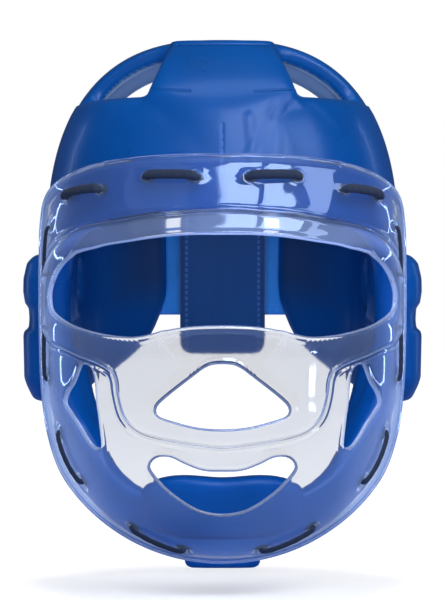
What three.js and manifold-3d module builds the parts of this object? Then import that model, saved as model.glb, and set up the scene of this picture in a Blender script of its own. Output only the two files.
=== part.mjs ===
// Taekwondo headgear with a clear face shield, in its worn shape.
// Millimetres. X runs to the side, Y to the back of the head and Z up.
// Heights are counted up from the chin, and the whole is then lowered so that
// the origin is the point inside the crown where the top of the head sits.
import * as THREE from "three";
import { mergeVertices } from "three/addons/utils/BufferGeometryUtils.js";
import Module from "manifold-3d";

const wasm = await Module();
wasm.setup();

// Driving sizes of the foam shell
const headHeight = 291;
const crownRise = 125;
const headHalfWidth = 98;
const headFront = 116;
const headBack = 112;
const foamThickness = 12;
const squareness = 2.6;
const tabRaise = 2;
const tabTopHalf = 25.5;
const tabFootHalf = 40.5;
const foreheadDrop = 38.5;
const archFront = 22;
const archBack = 42;
const rearBandDrop = 43;
const rearBandWidth = 48;
const spineHalf = 20;
const backGapHalf = 34;

// Driving sizes of the ear guards
const earGuardDrop = 81.5;
const earGuardHeight = 85.5;
const earGuardHalfDepth = 38;
const earGuardProud = 16;
const earGuardPlace = 15;
const earHoleRadius = 13;
const earHoleDrop = 13;
const earHolePlace = 20;
const guardHoleRadius = 9;

// Driving sizes of the clear shield
const shieldWall = 3;
const shieldFront = 138;
const shieldMiddle = 95;
const goggleStep = 2;
const topBulge = 1;
const sideBulge = 0.5;

// Driving sizes of the soft inner pieces and the lace
const chinPadThickness = 10;
const chinPadHalf = 45;
const chinPadTop = 50;
const chinPadBottom = 14;
const flapHalf = 26;
const flapThickness = 7;
const flapSeam = 16;
const flapLength = 106;
const flapCorner = 8;
const elasticDrop = 16;
const elasticWidth = 50;
const elasticThickness = 2.5;
const elasticReach = 62;
const laceDiameter = 4.4;
const laceHoleClearance = 0.5;
const laceLift = 0.6;

// Fits
const touchGap = 0.3;
const flapGap = 0.8;
const shieldClearance = 0.9;

// How finely round forms are divided
const headColumns = 40;
const domeSteps = 8;
const shieldColumns = 48;
const shieldRows = 9;
const laceSides = 8;
const laceSteps = 8;
const holeSides = 20;
const outlineSteps = 2;
const cutterReach = 200;
const cutterDepth = 20;

// Heights that follow from the driving sizes
const domeBase = headHeight - crownRise;
const foreheadTop = headHeight - foreheadDrop;
const rearBandTop = headHeight - rearBandDrop;
const rearBandBottom = rearBandTop - rearBandWidth;
const earGuardBottom = domeBase - earGuardDrop;
const earHoleHeight = domeBase - earHoleDrop;
const flapTop = rearBandBottom + flapSeam;
const flapBottom = flapTop - flapLength;
const elasticTop = rearBandBottom - elasticDrop;
const elasticBottom = elasticTop - elasticWidth;
const circle = Math.PI * 2;

// Shell sections below the dome: height as a share of the dome's base,
// and half width, front and back as shares of the head's own
const jawSections = [
  { height: 0.0, half: 0.63, front: 0.73, back: 0.7 },
  { height: 0.09, half: 0.74, front: 0.765, back: 0.75 },
  { height: 0.172, half: 0.816, front: 0.8, back: 0.8 },
  { height: 0.285, half: 0.908, front: 0.845, back: 0.85 },
  { height: 0.42, half: 0.964, front: 0.88, back: 0.9 },
  { height: 0.572, half: 0.99, front: 0.914, back: 0.94 },
  { height: 0.783, half: 1.0, front: 0.957, back: 0.98 },
  { height: 1.0, half: 1.0, front: 1.0, back: 1.0 },
];

// Lower edge of the shell seen from the side: depth as a share of the front,
// height as a share of the dome's base
const lowerEdge = [
  { depth: -0.78, height: 0.0 },
  { depth: -0.65, height: 0.04 },
  { depth: -0.535, height: 0.127 },
  { depth: -0.414, height: 0.229 },
  { depth: -0.293, height: 0.343 },
  { depth: -0.17, height: 0.385 },
  { depth: 0.0, height: 0.41 },
  { depth: 0.26, height: 0.488 },
  { depth: 0.52, height: 0.572 },
  { depth: 0.78, height: 0.639 },
];

// Face opening, right half, from the brow down to the chin:
// shares of the head's half width, front and height
const faceOpening = [
  { across: 0.0, forward: 1.0, up: 0.65 },
  { across: 0.4, forward: 0.966, up: 0.647 },
  { across: 0.63, forward: 0.845, up: 0.633 },
  { across: 0.8, forward: 0.672, up: 0.602 },
  { across: 0.88, forward: 0.534, up: 0.547 },
  { across: 0.9, forward: 0.474, up: 0.467 },
  { across: 0.888, forward: 0.448, up: 0.381 },
  { across: 0.847, forward: 0.5, up: 0.32 },
  { across: 0.765, forward: 0.586, up: 0.258 },
  { across: 0.653, forward: 0.672, up: 0.186 },
  { across: 0.47, forward: 0.776, up: 0.141 },
  { across: 0.255, forward: 0.836, up: 0.131 },
  { across: 0.0, forward: 0.853, up: 0.127 },
];

// Gap at the back of the head, right half: shares of the gap's half width
// and of the height of the rear band's lower edge
const backGap = [
  { across: 0.8, up: 1.0 },
  { across: 1.0, up: 0.96 },
  { across: 1.0, up: 0.77 },
  { across: 1.06, up: 0.7 },
  { across: 1.28, up: 0.61 },
  { across: 1.53, up: 0.563 },
  { across: 1.94, up: 0.48 },
  { across: 2.3, up: 0.29 },
];

// Ear guard sections, bottom to top: shares of its height, depth and bulge
const earSections = [
  { height: 0.0, depth: 0.55, out: 0.1 },
  { height: 0.06, depth: 0.78, out: 0.5 },
  { height: 0.15, depth: 0.92, out: 0.82 },
  { height: 0.35, depth: 1.0, out: 1.0 },
  { height: 0.5, depth: 0.98, out: 0.96 },
  { height: 0.57, depth: 0.95, out: 0.82 },
  { height: 0.61, depth: 0.94, out: 0.76 },
  { height: 0.66, depth: 0.95, out: 0.88 },
  { height: 0.76, depth: 0.96, out: 0.98 },
  { height: 0.9, depth: 0.85, out: 0.82 },
  { height: 0.97, depth: 0.72, out: 0.45 },
  { height: 1.0, depth: 0.58, out: 0.1 },
];

// Rim of the shield, right half, top to bottom: across as a share of the
// foam's half width at that height, up as a share of the head's height
const shieldRim = [
  { across: 0.0, up: 0.754 },
  { across: 0.312, up: 0.7525 },
  { across: 0.604, up: 0.744 },
  { across: 0.76, up: 0.732 },
  { across: 0.89, up: 0.711 },
  { across: 0.957, up: 0.684 },
  { across: 0.981, up: 0.639 },
  { across: 0.99, up: 0.567 },
  { across: 0.99, up: 0.485 },
  { across: 0.99, up: 0.405 },
  { across: 0.989, up: 0.326 },
  { across: 0.976, up: 0.24 },
  { across: 0.94, up: 0.1625 },
  { across: 0.842, up: 0.098 },
  { across: 0.646, up: 0.05 },
  { across: 0.361, up: 0.0206 },
  { across: 0.0, up: 0.0107 },
];

// Outlines on the shield seen from the front: shares of the head's half
// width and height. Each runs from the top centre to the bottom centre.
const goggleOutline = [
  { across: 0.0, up: 0.65 },
  { across: 0.4, up: 0.6405 },
  { across: 0.686, up: 0.626 },
  { across: 0.86, up: 0.602 },
  { across: 0.95, up: 0.571 },
  { across: 0.975, up: 0.53 },
  { across: 0.975, up: 0.46 },
  { across: 0.955, up: 0.424 },
  { across: 0.85, up: 0.404 },
  { across: 0.684, up: 0.3825 },
  { across: 0.58, up: 0.365 },
  { across: 0.55, up: 0.327 },
  { across: 0.51, up: 0.28 },
  { across: 0.4, up: 0.2515 },
  { across: 0.14, up: 0.235 },
  { across: 0.0, up: 0.23 },
];
const eyeWindow = [
  { across: 0.0, up: 0.608 },
  { across: 0.45, up: 0.598 },
  { across: 0.73, up: 0.579 },
  { across: 0.86, up: 0.544 },
  { across: 0.904, up: 0.496 },
  { across: 0.81, up: 0.45 },
  { across: 0.605, up: 0.427 },
  { across: 0.417, up: 0.424 },
  { across: 0.18, up: 0.4395 },
  { across: 0.0, up: 0.442 },
];
const noseHole = [
  { across: 0.0, up: 0.38 },
  { across: 0.08, up: 0.3756 },
  { across: 0.292, up: 0.319 },
  { across: 0.34, up: 0.3 },
  { across: 0.31, up: 0.279 },
  { across: 0.1265, up: 0.263 },
  { across: 0.0, up: 0.26 },
];
const mouthSlot = [
  { across: 0.0, up: 0.1876 },
  { across: 0.19, up: 0.2 },
  { across: 0.29, up: 0.214 },
  { across: 0.37, up: 0.208 },
  { across: 0.385, up: 0.189 },
  { across: 0.266, up: 0.142 },
  { across: 0.134, up: 0.113 },
  { across: 0.0, up: 0.104 },
];
const cheekHole = [
  { across: 0.735, up: 0.377 },
  { across: 0.792, up: 0.343 },
  { across: 0.846, up: 0.306 },
  { across: 0.81, up: 0.283 },
  { across: 0.7224, up: 0.2395 },
  { across: 0.65, up: 0.2205 },
  { across: 0.636, up: 0.2326 },
  { across: 0.663, up: 0.302 },
  { across: 0.683, up: 0.3615 },
];

// Where each lace stretch leaves and enters the shield: turn from the top
// centre in degrees, and reach as a share of the way to the rim
const laceStretches = [
  { name: "top_inner", from: { turn: 7.2, reach: 0.907 }, to: { turn: 19.4, reach: 0.92 } },
  { name: "top_outer", from: { turn: 31.5, reach: 0.899 }, to: { turn: 38.9, reach: 0.933 } },
  { name: "upper_side", from: { turn: 47.2, reach: 0.945 }, to: { turn: 57.2, reach: 0.95 } },
  { name: "lower_side", from: { turn: 71.2, reach: 0.95 }, to: { turn: 87, reach: 0.955 } },
  { name: "jaw", from: { turn: 105.2, reach: 0.92 }, to: { turn: 123.2, reach: 0.912 } },
  { name: "chin", from: { turn: 146.8, reach: 0.925 }, to: { turn: 166.1, reach: 0.945 } },
];

const finishes = {
  dippedFoam: { color: 0x14508f, roughness: 0.28, metalness: 0 },
  clearPlastic: { color: 0xdfe3f2, roughness: 0.08, metalness: 0, transparent: true, opacity: 0.35 },
  darkPadding: { color: 0x193a6b, roughness: 0.7, metalness: 0 },
  elastic: { color: 0x1f66c4, roughness: 0.85, metalness: 0 },
  cord: { color: 0x323d57, roughness: 0.6, metalness: 0 },
};

// A closed mesh becomes a solid for joining and cutting
function toSolid(geometry) {
  geometry.deleteAttribute("normal");
  geometry.deleteAttribute("uv");
  const merged = mergeVertices(geometry);
  return new wasm.Manifold(new wasm.Mesh({
    numProp: 3,
    vertProperties: new Float32Array(merged.attributes.position.array),
    triVerts: new Uint32Array(merged.index.array),
  }));
}

function toGeometry(solid) {
  const result = solid.getMesh();
  const geometry = new THREE.BufferGeometry();
  geometry.setAttribute("position", new THREE.BufferAttribute(result.vertProperties, 3));
  geometry.setIndex(new THREE.BufferAttribute(result.triVerts, 1));
  geometry.computeVertexNormals();
  return geometry;
}

// A closed skin through rings of equal count, ended by a point at each end
function loft(rings, start, end) {
  const count = rings[0].length;
  const points = [...rings.flat(), start, end];
  const index = [];
  const at = (row, column) => row * count + (column % count);
  for (let column = 0; column < count; column += 1) {
    index.push(points.length - 2, at(0, column + 1), at(0, column));
    index.push(points.length - 1, at(rings.length - 1, column), at(rings.length - 1, column + 1));
    for (let row = 0; row + 1 < rings.length; row += 1) {
      index.push(at(row, column), at(row, column + 1), at(row + 1, column + 1));
      index.push(at(row, column), at(row + 1, column + 1), at(row + 1, column));
    }
  }
  const geometry = new THREE.BufferGeometry().setFromPoints(points);
  geometry.setIndex(index);
  return toSolid(geometry);
}

function middleOf(ring) {
  return ring.reduce((sum, point) => sum.add(point), new THREE.Vector3()).divideScalar(ring.length);
}

function between(rows, key, value, column) {
  const above = Math.max(1, rows.findIndex((row) => row[key] >= value));
  const [low, high] = value > rows.at(-1)[key] ? rows.slice(-2) : [rows[above - 1], rows[above]];
  const share = THREE.MathUtils.clamp((value - low[key]) / (high[key] - low[key]), 0, 1);
  return THREE.MathUtils.lerp(low[column], high[column], share);
}

// Half width, front and back of the head form at a height, moved in by inset
function headSection(height, inset = 0) {
  if (height > domeBase) {
    const rise = Math.min((height - domeBase) / (crownRise - inset), 1);
    const scale = (1 - rise ** squareness) ** (1 / squareness);
    return {
      half: (headHalfWidth - inset) * scale,
      front: (headFront - inset) * scale,
      back: (headBack - inset) * scale,
    };
  }
  const share = height / domeBase;
  return {
    half: headHalfWidth * between(jawSections, "height", share, "half") - inset,
    front: headFront * between(jawSections, "height", share, "front") - inset,
    back: headBack * between(jawSections, "height", share, "back") - inset,
  };
}

// Depth of the head form at a place across it, as a share of its half width
function depthShare(across) {
  return (1 - Math.min(Math.abs(across), 1) ** squareness) ** (1 / squareness);
}

function headRing(height, inset) {
  const section = headSection(height, inset);
  return Array.from({ length: headColumns }, (_, column) => {
    const turn = (column / headColumns) * circle;
    const across = Math.sign(Math.sin(turn)) * Math.abs(Math.sin(turn)) ** (2 / squareness);
    const along = Math.abs(Math.cos(turn)) ** (2 / squareness);
    const depth = Math.cos(turn) > 0 ? -section.front : section.back;
    return new THREE.Vector3(across * section.half, along * depth, height);
  });
}

// The closed head form, moved in by inset and carried on below the chin
function headForm(inset, below = 0) {
  const rings = below > 0 ? [headRing(0, inset).map((point) => point.setZ(-below))] : [];
  jawSections.forEach((row) => rings.push(headRing(row.height * domeBase, inset)));
  const rise = crownRise - inset;
  for (let step = 1; step < domeSteps; step += 1) {
    const share = Math.sin((step / domeSteps) * (circle / 4)) ** (2 / squareness);
    rings.push(headRing(domeBase + rise * share, inset));
  }
  const top = new THREE.Vector3(0, 0, domeBase + rise);
  return loft(rings, middleOf(rings[0]), top);
}

// A prism of an outline of side and height points, from one depth to another
function prismAlongDepth(outline, near, far) {
  const shape = new THREE.Shape(outline);
  const geometry = new THREE.ExtrudeGeometry(shape, { depth: far - near, bevelEnabled: false });
  const place = new THREE.Matrix4().makeBasis(
    new THREE.Vector3(1, 0, 0), new THREE.Vector3(0, 0, 1), new THREE.Vector3(0, -1, 0));
  geometry.applyMatrix4(place.setPosition(0, far, 0));
  return toSolid(geometry);
}

// A prism of an outline of depth and height points, right across the head
function prismAcross(outline) {
  const shape = new THREE.Shape(outline);
  const geometry = new THREE.ExtrudeGeometry(shape, { depth: 2 * cutterReach, bevelEnabled: false });
  const place = new THREE.Matrix4().makeBasis(
    new THREE.Vector3(0, 1, 0), new THREE.Vector3(0, 0, 1), new THREE.Vector3(1, 0, 0));
  geometry.applyMatrix4(place.setPosition(-cutterReach, 0, 0));
  return toSolid(geometry);
}

function mirrored(points) {
  const left = points.filter((point) => point.x !== 0).map((point) => {
    const copy = point.clone();
    copy.x = -copy.x;
    return copy;
  });
  return [...points, ...left.reverse()];
}

// Rows of shares become points in the front view, with extra points on a smooth curve
function frontOutline(rows, side = 1) {
  const points = rows.map((row) =>
    new THREE.Vector3(side * row.across * headHalfWidth, 0, row.up * headHeight));
  const closed = side * rows[0].across === 0 ? mirrored(points) : points;
  const curve = new THREE.CatmullRomCurve3(closed, true);
  return curve.getPoints(closed.length * outlineSteps).slice(0, -1)
    .map((point) => new THREE.Vector2(point.x, point.z));
}

// The face opening is cut square to the wall, by a fan from inside the head
function faceCutter() {
  const eye = new THREE.Vector3(0, cutterDepth, domeBase * 0.8);
  const spread = 1.8;
  const onFoam = faceOpening.map((row) => new THREE.Vector3(
    row.across * headHalfWidth, -row.forward * headFront, row.up * headHeight));
  const curve = new THREE.CatmullRomCurve3(mirrored(onFoam), true);
  const ring = curve.getPoints(2 * onFoam.length * 2).slice(0, -1)
    .map((point) => point.sub(eye).multiplyScalar(spread).add(eye));
  return loft([ring.reverse()], eye, new THREE.Vector3(0, -2 * cutterReach, eye.z));
}

function frontVent(side) {
  const outline = [
    [tabFootHalf, foreheadTop], [tabTopHalf, headHeight], [tabTopHalf, headHeight + cutterDepth],
    [cutterReach, headHeight + cutterDepth], [cutterReach, foreheadTop],
  ];
  const points = outline.map(([x, z]) => new THREE.Vector2(side * x, z));
  return prismAlongDepth(points, -cutterReach, -archFront);
}

function rearVent(side) {
  const outline = [
    [spineHalf, rearBandTop], [spineHalf, headHeight + cutterDepth],
    [cutterReach, headHeight + cutterDepth], [cutterReach, rearBandTop],
  ];
  const points = outline.map(([x, z]) => new THREE.Vector2(side * x, z));
  return prismAlongDepth(points, archBack, cutterReach);
}

function roundPin(radius, place, height) {
  const geometry = new THREE.CylinderGeometry(radius, radius, 2 * cutterReach, holeSides);
  geometry.rotateZ(circle / 4).translate(0, place, height);
  return toSolid(geometry);
}

function frontTab() {
  const outline = [
    [-tabFootHalf, foreheadTop], [tabFootHalf, foreheadTop],
    [tabTopHalf, headHeight + cutterDepth], [-tabTopHalf, headHeight + cutterDepth],
  ];
  const points = outline.map(([x, z]) => new THREE.Vector2(x, z));
  return headForm(-tabRaise)
    .subtract(headForm(foamThickness, cutterDepth))
    .intersect(prismAlongDepth(points, -cutterReach, -archFront));
}

// One dipped moulding: brow band, crown arch, spine, side wings and jaw band
function foamShell() {
  const below = lowerEdge.map((row) => new THREE.Vector2(row.depth * headFront, row.height * domeBase));
  below.unshift(new THREE.Vector2(below[0].x, -2 * cutterDepth));
  below.push(new THREE.Vector2(cutterReach, below.at(-1).y), new THREE.Vector2(cutterReach, -2 * cutterDepth));
  const gap = mirrored(backGap.map((row) =>
    new THREE.Vector2(row.across * backGapHalf, row.up * rearBandBottom)));
  return headForm(0)
    .subtract(headForm(foamThickness, cutterDepth))
    .subtract(frontVent(1))
    .subtract(frontVent(-1))
    .subtract(rearVent(1))
    .subtract(rearVent(-1))
    .add(frontTab())
    .subtract(faceCutter())
    .subtract(prismAcross(below))
    .subtract(prismAlongDepth(gap, 0, cutterReach))
    .subtract(roundPin(earHoleRadius, earHolePlace, earHoleHeight));
}

// A two-lobed dipped pad that stands on the shell over the ear
function earGuard(side) {
  const root = headHalfWidth - foamThickness / 2;
  const rings = earSections.map((row) => Array.from({ length: headColumns / 2 }, (_, column) => {
    const turn = (2 * column / headColumns) * circle;
    const reach = foamThickness / 2 + earGuardProud * row.out;
    return new THREE.Vector3(
      side * (root + reach * Math.cos(turn)),
      earGuardPlace + side * earGuardHalfDepth * row.depth * Math.sin(turn),
      earGuardBottom + earGuardHeight * row.height,
    );
  }));
  return loft(rings, middleOf(rings[0]), middleOf(rings.at(-1)))
    .subtract(headForm(-touchGap))
    .subtract(roundPin(guardHoleRadius, earHolePlace, earHoleHeight));
}

// The shield's rim on the foam, found by its turn about the shield's middle
const rimSamples = (() => {
  const offset = shieldClearance + shieldWall;
  const points = shieldRim.map((row) => {
    const height = row.up * headHeight;
    const section = headSection(height, -offset);
    const depth = -section.front * depthShare(row.across);
    return new THREE.Vector3(row.across * section.half, depth, height);
  });
  return new THREE.CatmullRomCurve3(mirrored(points), true).getPoints(shieldRim.length * 24)
    .filter((point) => point.x >= 0)
    .map((point) => ({ turn: Math.atan2(point.x, point.z - shieldMiddle), point }))
    .sort((one, two) => one.turn - two.turn);
})();

function rimAt(turn) {
  const next = Math.max(1, rimSamples.findIndex((sample) => sample.turn >= Math.abs(turn)));
  const [low, high] = Math.abs(turn) > rimSamples.at(-1).turn
    ? rimSamples.slice(-2) : [rimSamples[next - 1], rimSamples[next]];
  const share = (Math.abs(turn) - low.turn) / Math.max(high.turn - low.turn, Number.EPSILON);
  const point = low.point.clone().lerp(high.point, THREE.MathUtils.clamp(share, 0, 1));
  point.x *= Math.sign(turn) || 1;
  return point;
}

// A point on the shield's bowl: turn about its middle, reach from middle to rim
function bowlPoint(turn, reach) {
  const rim = rimAt(turn);
  const topShare = THREE.MathUtils.clamp((Math.cos(turn) - 0.68) / 0.27, 0, 1);
  const bulge = THREE.MathUtils.lerp(sideBulge, topBulge, topShare);
  const swell = (1 - Math.min(reach, 1) ** 2) ** bulge;
  return new THREE.Vector3(
    rim.x * reach,
    THREE.MathUtils.lerp(rim.y, -shieldFront, swell),
    THREE.MathUtils.lerp(shieldMiddle, rim.z, reach),
  );
}

function bowlNormal(turn, reach) {
  const step = 0.01;
  const inner = Math.min(reach, 1 - step);
  const along = bowlPoint(turn, inner + step / 2).sub(bowlPoint(turn, inner - step / 2));
  const around = bowlPoint(turn + step, inner).sub(bowlPoint(turn - step, inner));
  return along.cross(around).normalize().multiplyScalar(-1);
}

function bowlRing(reach, lift) {
  return Array.from({ length: shieldColumns }, (_, column) => {
    const turn = (column / shieldColumns - 0.5) * circle;
    return bowlPoint(turn, reach).addScaledVector(bowlNormal(turn, reach), lift);
  });
}

// A bowl of one wall, its outer face lifted off the shield's own outer face
function bowl(lift) {
  const reaches = Array.from({ length: shieldRows }, (_, row) =>
    Math.sin(((row + 1) / shieldRows) * (circle / 4)));
  const outer = reaches.map((reach) => bowlRing(reach, lift));
  const inner = reaches.map((reach) => bowlRing(reach, lift - shieldWall)).reverse();
  const outerMiddle = new THREE.Vector3(0, -shieldFront - lift, shieldMiddle);
  const innerMiddle = new THREE.Vector3(0, -shieldFront - lift + shieldWall, shieldMiddle);
  return loft([...outer, ...inner], outerMiddle, innerMiddle);
}

function shrunk(outline, by) {
  const middle = outline.reduce((sum, point) => sum.add(point), new THREE.Vector2())
    .divideScalar(outline.length);
  return outline.map((point) => {
    const away = point.clone().sub(middle);
    return away.setLength(away.length() - by).add(middle);
  });
}

// One cord stretch on the outside of the shield, in at both ends
function lace(stretch, side, grow = 0) {
  const radius = laceDiameter / 2;
  const at = (share, lift) => {
    const turn = side * THREE.MathUtils.degToRad(
      THREE.MathUtils.lerp(stretch.from.turn, stretch.to.turn, share));
    const reach = THREE.MathUtils.lerp(stretch.from.reach, stretch.to.reach, share);
    return bowlPoint(turn, reach).addScaledVector(bowlNormal(turn, reach), lift);
  };
  const over = radius + laceLift;
  const under = -shieldWall - grow;
  const route = new THREE.CatmullRomCurve3([
    at(0, under), at(0, under / 2), at(0.03, over * 0.5), at(0.14, over), at(0.38, over),
    at(0.62, over), at(0.86, over), at(0.97, over * 0.5), at(1, under / 2), at(1, under),
  ]);
  const section = Array.from({ length: laceSides }, (_, corner) => {
    const turn = (corner / laceSides) * circle;
    return new THREE.Vector2(Math.cos(turn), Math.sin(turn)).multiplyScalar(radius + grow);
  });
  const geometry = new THREE.ExtrudeGeometry(new THREE.Shape(section), {
    steps: laceSteps, extrudePath: route, bevelEnabled: false });
  return toSolid(geometry);
}

// The clear shield: a bowl with a raised goggle area, breathing holes and an eye window
function faceShield() {
  const near = -cutterReach;
  const far = -headFront / 2;
  const goggle = frontOutline(goggleOutline);
  const raised = bowl(goggleStep).intersect(prismAlongDepth(goggle, near, 0));
  let shield = bowl(0).subtract(prismAlongDepth(shrunk(goggle, shieldWall), near, 0)).add(raised);
  for (const outline of [eyeWindow, noseHole, mouthSlot]) {
    shield = shield.subtract(prismAlongDepth(frontOutline(outline), near, far));
  }
  for (const side of [1, -1]) {
    shield = shield.subtract(prismAlongDepth(frontOutline(cheekHole, side), near, far));
    for (const stretch of laceStretches) {
      shield = shield.subtract(lace(stretch, side, laceHoleClearance));
    }
  }
  return shield.subtract(headForm(-touchGap));
}

// A pad on the inside of the chin, standing a little above the jaw band
function chinPad() {
  const corner = (chinPadTop - chinPadBottom) / 4;
  const outline = mirrored([
    new THREE.Vector2(0, chinPadTop),
    new THREE.Vector2(chinPadHalf - 2 * corner, chinPadTop),
    new THREE.Vector2(chinPadHalf, chinPadTop - 1.5 * corner),
    new THREE.Vector2(chinPadHalf - corner, chinPadBottom + corner),
    new THREE.Vector2(chinPadHalf - 2.5 * corner, chinPadBottom),
    new THREE.Vector2(0, chinPadBottom),
  ]);
  const inset = foamThickness + touchGap;
  return headForm(inset)
    .subtract(headForm(inset + chinPadThickness, cutterDepth))
    .intersect(prismAlongDepth(outline, -cutterReach, 0));
}

// A padded flap that hangs inside the gap at the back from the rear band
function backFlap() {
  const inset = foamThickness + flapGap;
  const reach = (height) => {
    const section = headSection(height, inset);
    return section.back * depthShare(flapHalf / section.half);
  };
  const rows = [
    { height: flapBottom, half: flapHalf - flapCorner },
    { height: flapBottom + flapCorner / 3, half: flapHalf - flapCorner / 3 },
    { height: flapBottom + flapCorner, half: flapHalf },
    { height: (flapBottom + rearBandBottom) / 2, half: flapHalf },
    { height: rearBandBottom, half: flapHalf },
    { height: flapTop, half: flapHalf },
  ];
  const rings = rows.map(({ height, half }) => {
    const back = Math.min(reach(height), reach(rearBandBottom));
    return [[-half, -flapThickness], [half, -flapThickness], [half, 0], [-half, 0]]
      .map(([x, y]) => new THREE.Vector3(x, back + y, height));
  });
  return loft(rings, middleOf(rings[0]), middleOf(rings.at(-1)));
}

// An elastic band on the outside of the wings, across the gap at the back
function elasticBand() {
  const outline = [
    [-elasticReach, elasticBottom], [elasticReach, elasticBottom],
    [elasticReach, elasticTop], [-elasticReach, elasticTop],
  ].map(([x, z]) => new THREE.Vector2(x, z));
  return headForm(-touchGap - elasticThickness)
    .subtract(headForm(-touchGap))
    .intersect(prismAlongDepth(outline, 0, cutterReach));
}

function piece(name, solid, finish) {
  const mesh = new THREE.Mesh(toGeometry(solid), new THREE.MeshStandardMaterial(finish));
  mesh.name = name;
  return mesh;
}

const headgear = new THREE.Group();
headgear.position.z = foamThickness - headHeight;
headgear.add(
  piece("foam_shell", foamShell(), finishes.dippedFoam),
  piece("chin_pad", chinPad(), finishes.dippedFoam),
  piece("back_flap", backFlap(), finishes.darkPadding),
  piece("elastic_band", elasticBand(), finishes.elastic),
  piece("face_shield", faceShield(), finishes.clearPlastic),
);
for (const [word, side] of [["right", 1], ["left", -1]]) {
  headgear.add(piece(`ear_guard_${word}`, earGuard(side), finishes.dippedFoam));
  for (const stretch of laceStretches) {
    headgear.add(piece(`lace_${stretch.name}_${word}`, lace(stretch, side), finishes.cord));
  }
}

export default headgear;
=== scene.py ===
import math

import bpy
import numpy as np
from bpy.props import FloatProperty, FloatVectorProperty, IntProperty, PointerProperty
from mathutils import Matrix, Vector
from mathutils.geometry import delaunay_2d_cdt


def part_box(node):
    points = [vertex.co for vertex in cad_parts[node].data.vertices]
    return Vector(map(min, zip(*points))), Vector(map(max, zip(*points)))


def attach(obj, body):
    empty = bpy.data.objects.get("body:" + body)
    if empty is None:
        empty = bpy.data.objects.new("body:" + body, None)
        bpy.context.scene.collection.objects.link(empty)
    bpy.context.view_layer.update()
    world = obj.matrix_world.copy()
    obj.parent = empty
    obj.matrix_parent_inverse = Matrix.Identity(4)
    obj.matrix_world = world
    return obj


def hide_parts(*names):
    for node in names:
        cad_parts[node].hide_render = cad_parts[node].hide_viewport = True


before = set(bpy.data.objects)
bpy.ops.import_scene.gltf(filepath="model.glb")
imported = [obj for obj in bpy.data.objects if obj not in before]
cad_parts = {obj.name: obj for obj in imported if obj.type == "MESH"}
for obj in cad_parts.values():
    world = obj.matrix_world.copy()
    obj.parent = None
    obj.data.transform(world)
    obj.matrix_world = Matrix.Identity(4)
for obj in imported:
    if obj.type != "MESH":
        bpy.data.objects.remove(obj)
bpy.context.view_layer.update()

bl_info = {
    "name": "Laced Face Shield Headgear",
    "version": (1, 0, 0),
    "blender": (4, 5, 0),
    "location": "3D View > Sidebar > Headgear",
    "description": "Dresses a dipped foam head guard with its clear laced face shield",
    "category": "Object",
}

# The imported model's box, and the sizes that follow from it
SHELL_LOW, SHELL_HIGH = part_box("foam_shell")
FLAP_LOW, FLAP_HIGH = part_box("back_flap")
ELASTIC_LOW, ELASTIC_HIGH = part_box("elastic_band")
PAD_LOW, PAD_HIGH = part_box("chin_pad")
SIDES = (("right", 1), ("left", -1))
FACE_EYE = 0.02          # where the face opening's turns are measured from, behind the seat
FACE_AROUND = 0.095      # and the radius that turns them into distances
STITCH_SHARE = 0.62      # thread in each stitch's length
SEAM_LEVEL = (-0.07, 0.022)    # middle and half height of the brow's stitches
DISC_STEP = 0.004        # small step on the shield's flat disc, for slopes
EDGE_BULGE = 0.42        # roundness of the shield's cut edges, as a share of the wall
# Distances of the mesh's rings from the goggle line and inwards from the rim
GOGGLE_RINGS = (-0.0042, -0.0028, -0.0017, -0.001, -0.0004, 0.0004, 0.001, 0.0017, 0.0027, 0.0034,
                0.0041, 0.0052)
RIM_RINGS = (0.0, 0.0007, 0.0014, 0.0022, 0.0032, 0.0046)

# Shell sections below the dome: height as a share of the dome's base, then
# half width, front and back as shares of the head's own
JAW_SECTIONS = (
    (0.0, 0.63, 0.73, 0.7), (0.09, 0.74, 0.765, 0.75), (0.172, 0.816, 0.8, 0.8),
    (0.285, 0.908, 0.845, 0.85), (0.42, 0.964, 0.88, 0.9), (0.572, 0.99, 0.914, 0.94),
    (0.783, 1.0, 0.957, 0.98), (1.0, 1.0, 1.0, 1.0),
)

# Lower edge seen from the side: depth as a share of the front, height as a
# share of the dome's base
LOWER_EDGE = (
    (-0.78, 0.0), (-0.65, 0.04), (-0.535, 0.127), (-0.414, 0.229), (-0.293, 0.343),
    (-0.17, 0.385), (0.0, 0.41), (0.26, 0.478), (0.52, 0.55), (0.78, 0.625), (1.0, 0.66),
)

# Face opening, right half, brow to chin: across, forward and up, as shares of
# the half width, the front and the height
FACE_OPENING = (
    (0.0, 1.0, 0.65), (0.4, 0.966, 0.647), (0.63, 0.845, 0.633), (0.8, 0.672, 0.602),
    (0.88, 0.534, 0.547), (0.9, 0.474, 0.467), (0.875, 0.458, 0.381), (0.812, 0.52, 0.32),
    (0.722, 0.61, 0.255), (0.63, 0.685, 0.186), (0.47, 0.776, 0.141), (0.255, 0.836, 0.131),
    (0.0, 0.853, 0.127),
)

# Gap at the back, right half: shares of the gap's half width and of the
# height of the rear band's lower edge
BACK_GAP = (
    (0.8, 1.0), (1.0, 0.96), (1.0, 0.77), (1.06, 0.7), (1.28, 0.61), (1.53, 0.563), (1.94, 0.48),
    (2.3, 0.29),
)

# Ear guard sections, bottom to top: height, depth and reach outwards
EAR_SECTIONS = (
    (0.0, 0.62, 0.3), (0.02, 0.7, 0.6), (0.12, 0.9, 0.87), (0.17, 0.95, 0.96), (0.45, 1.0, 0.99),
    (0.478, 0.99, 0.95), (0.5, 0.97, 0.78), (0.56, 0.95, 0.75), (0.63, 0.95, 0.78),
    (0.665, 0.96, 0.93), (0.74, 0.97, 1.0), (0.83, 0.95, 0.99), (0.93, 0.83, 0.86),
    (0.985, 0.7, 0.6), (1.0, 0.62, 0.4),
)

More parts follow.
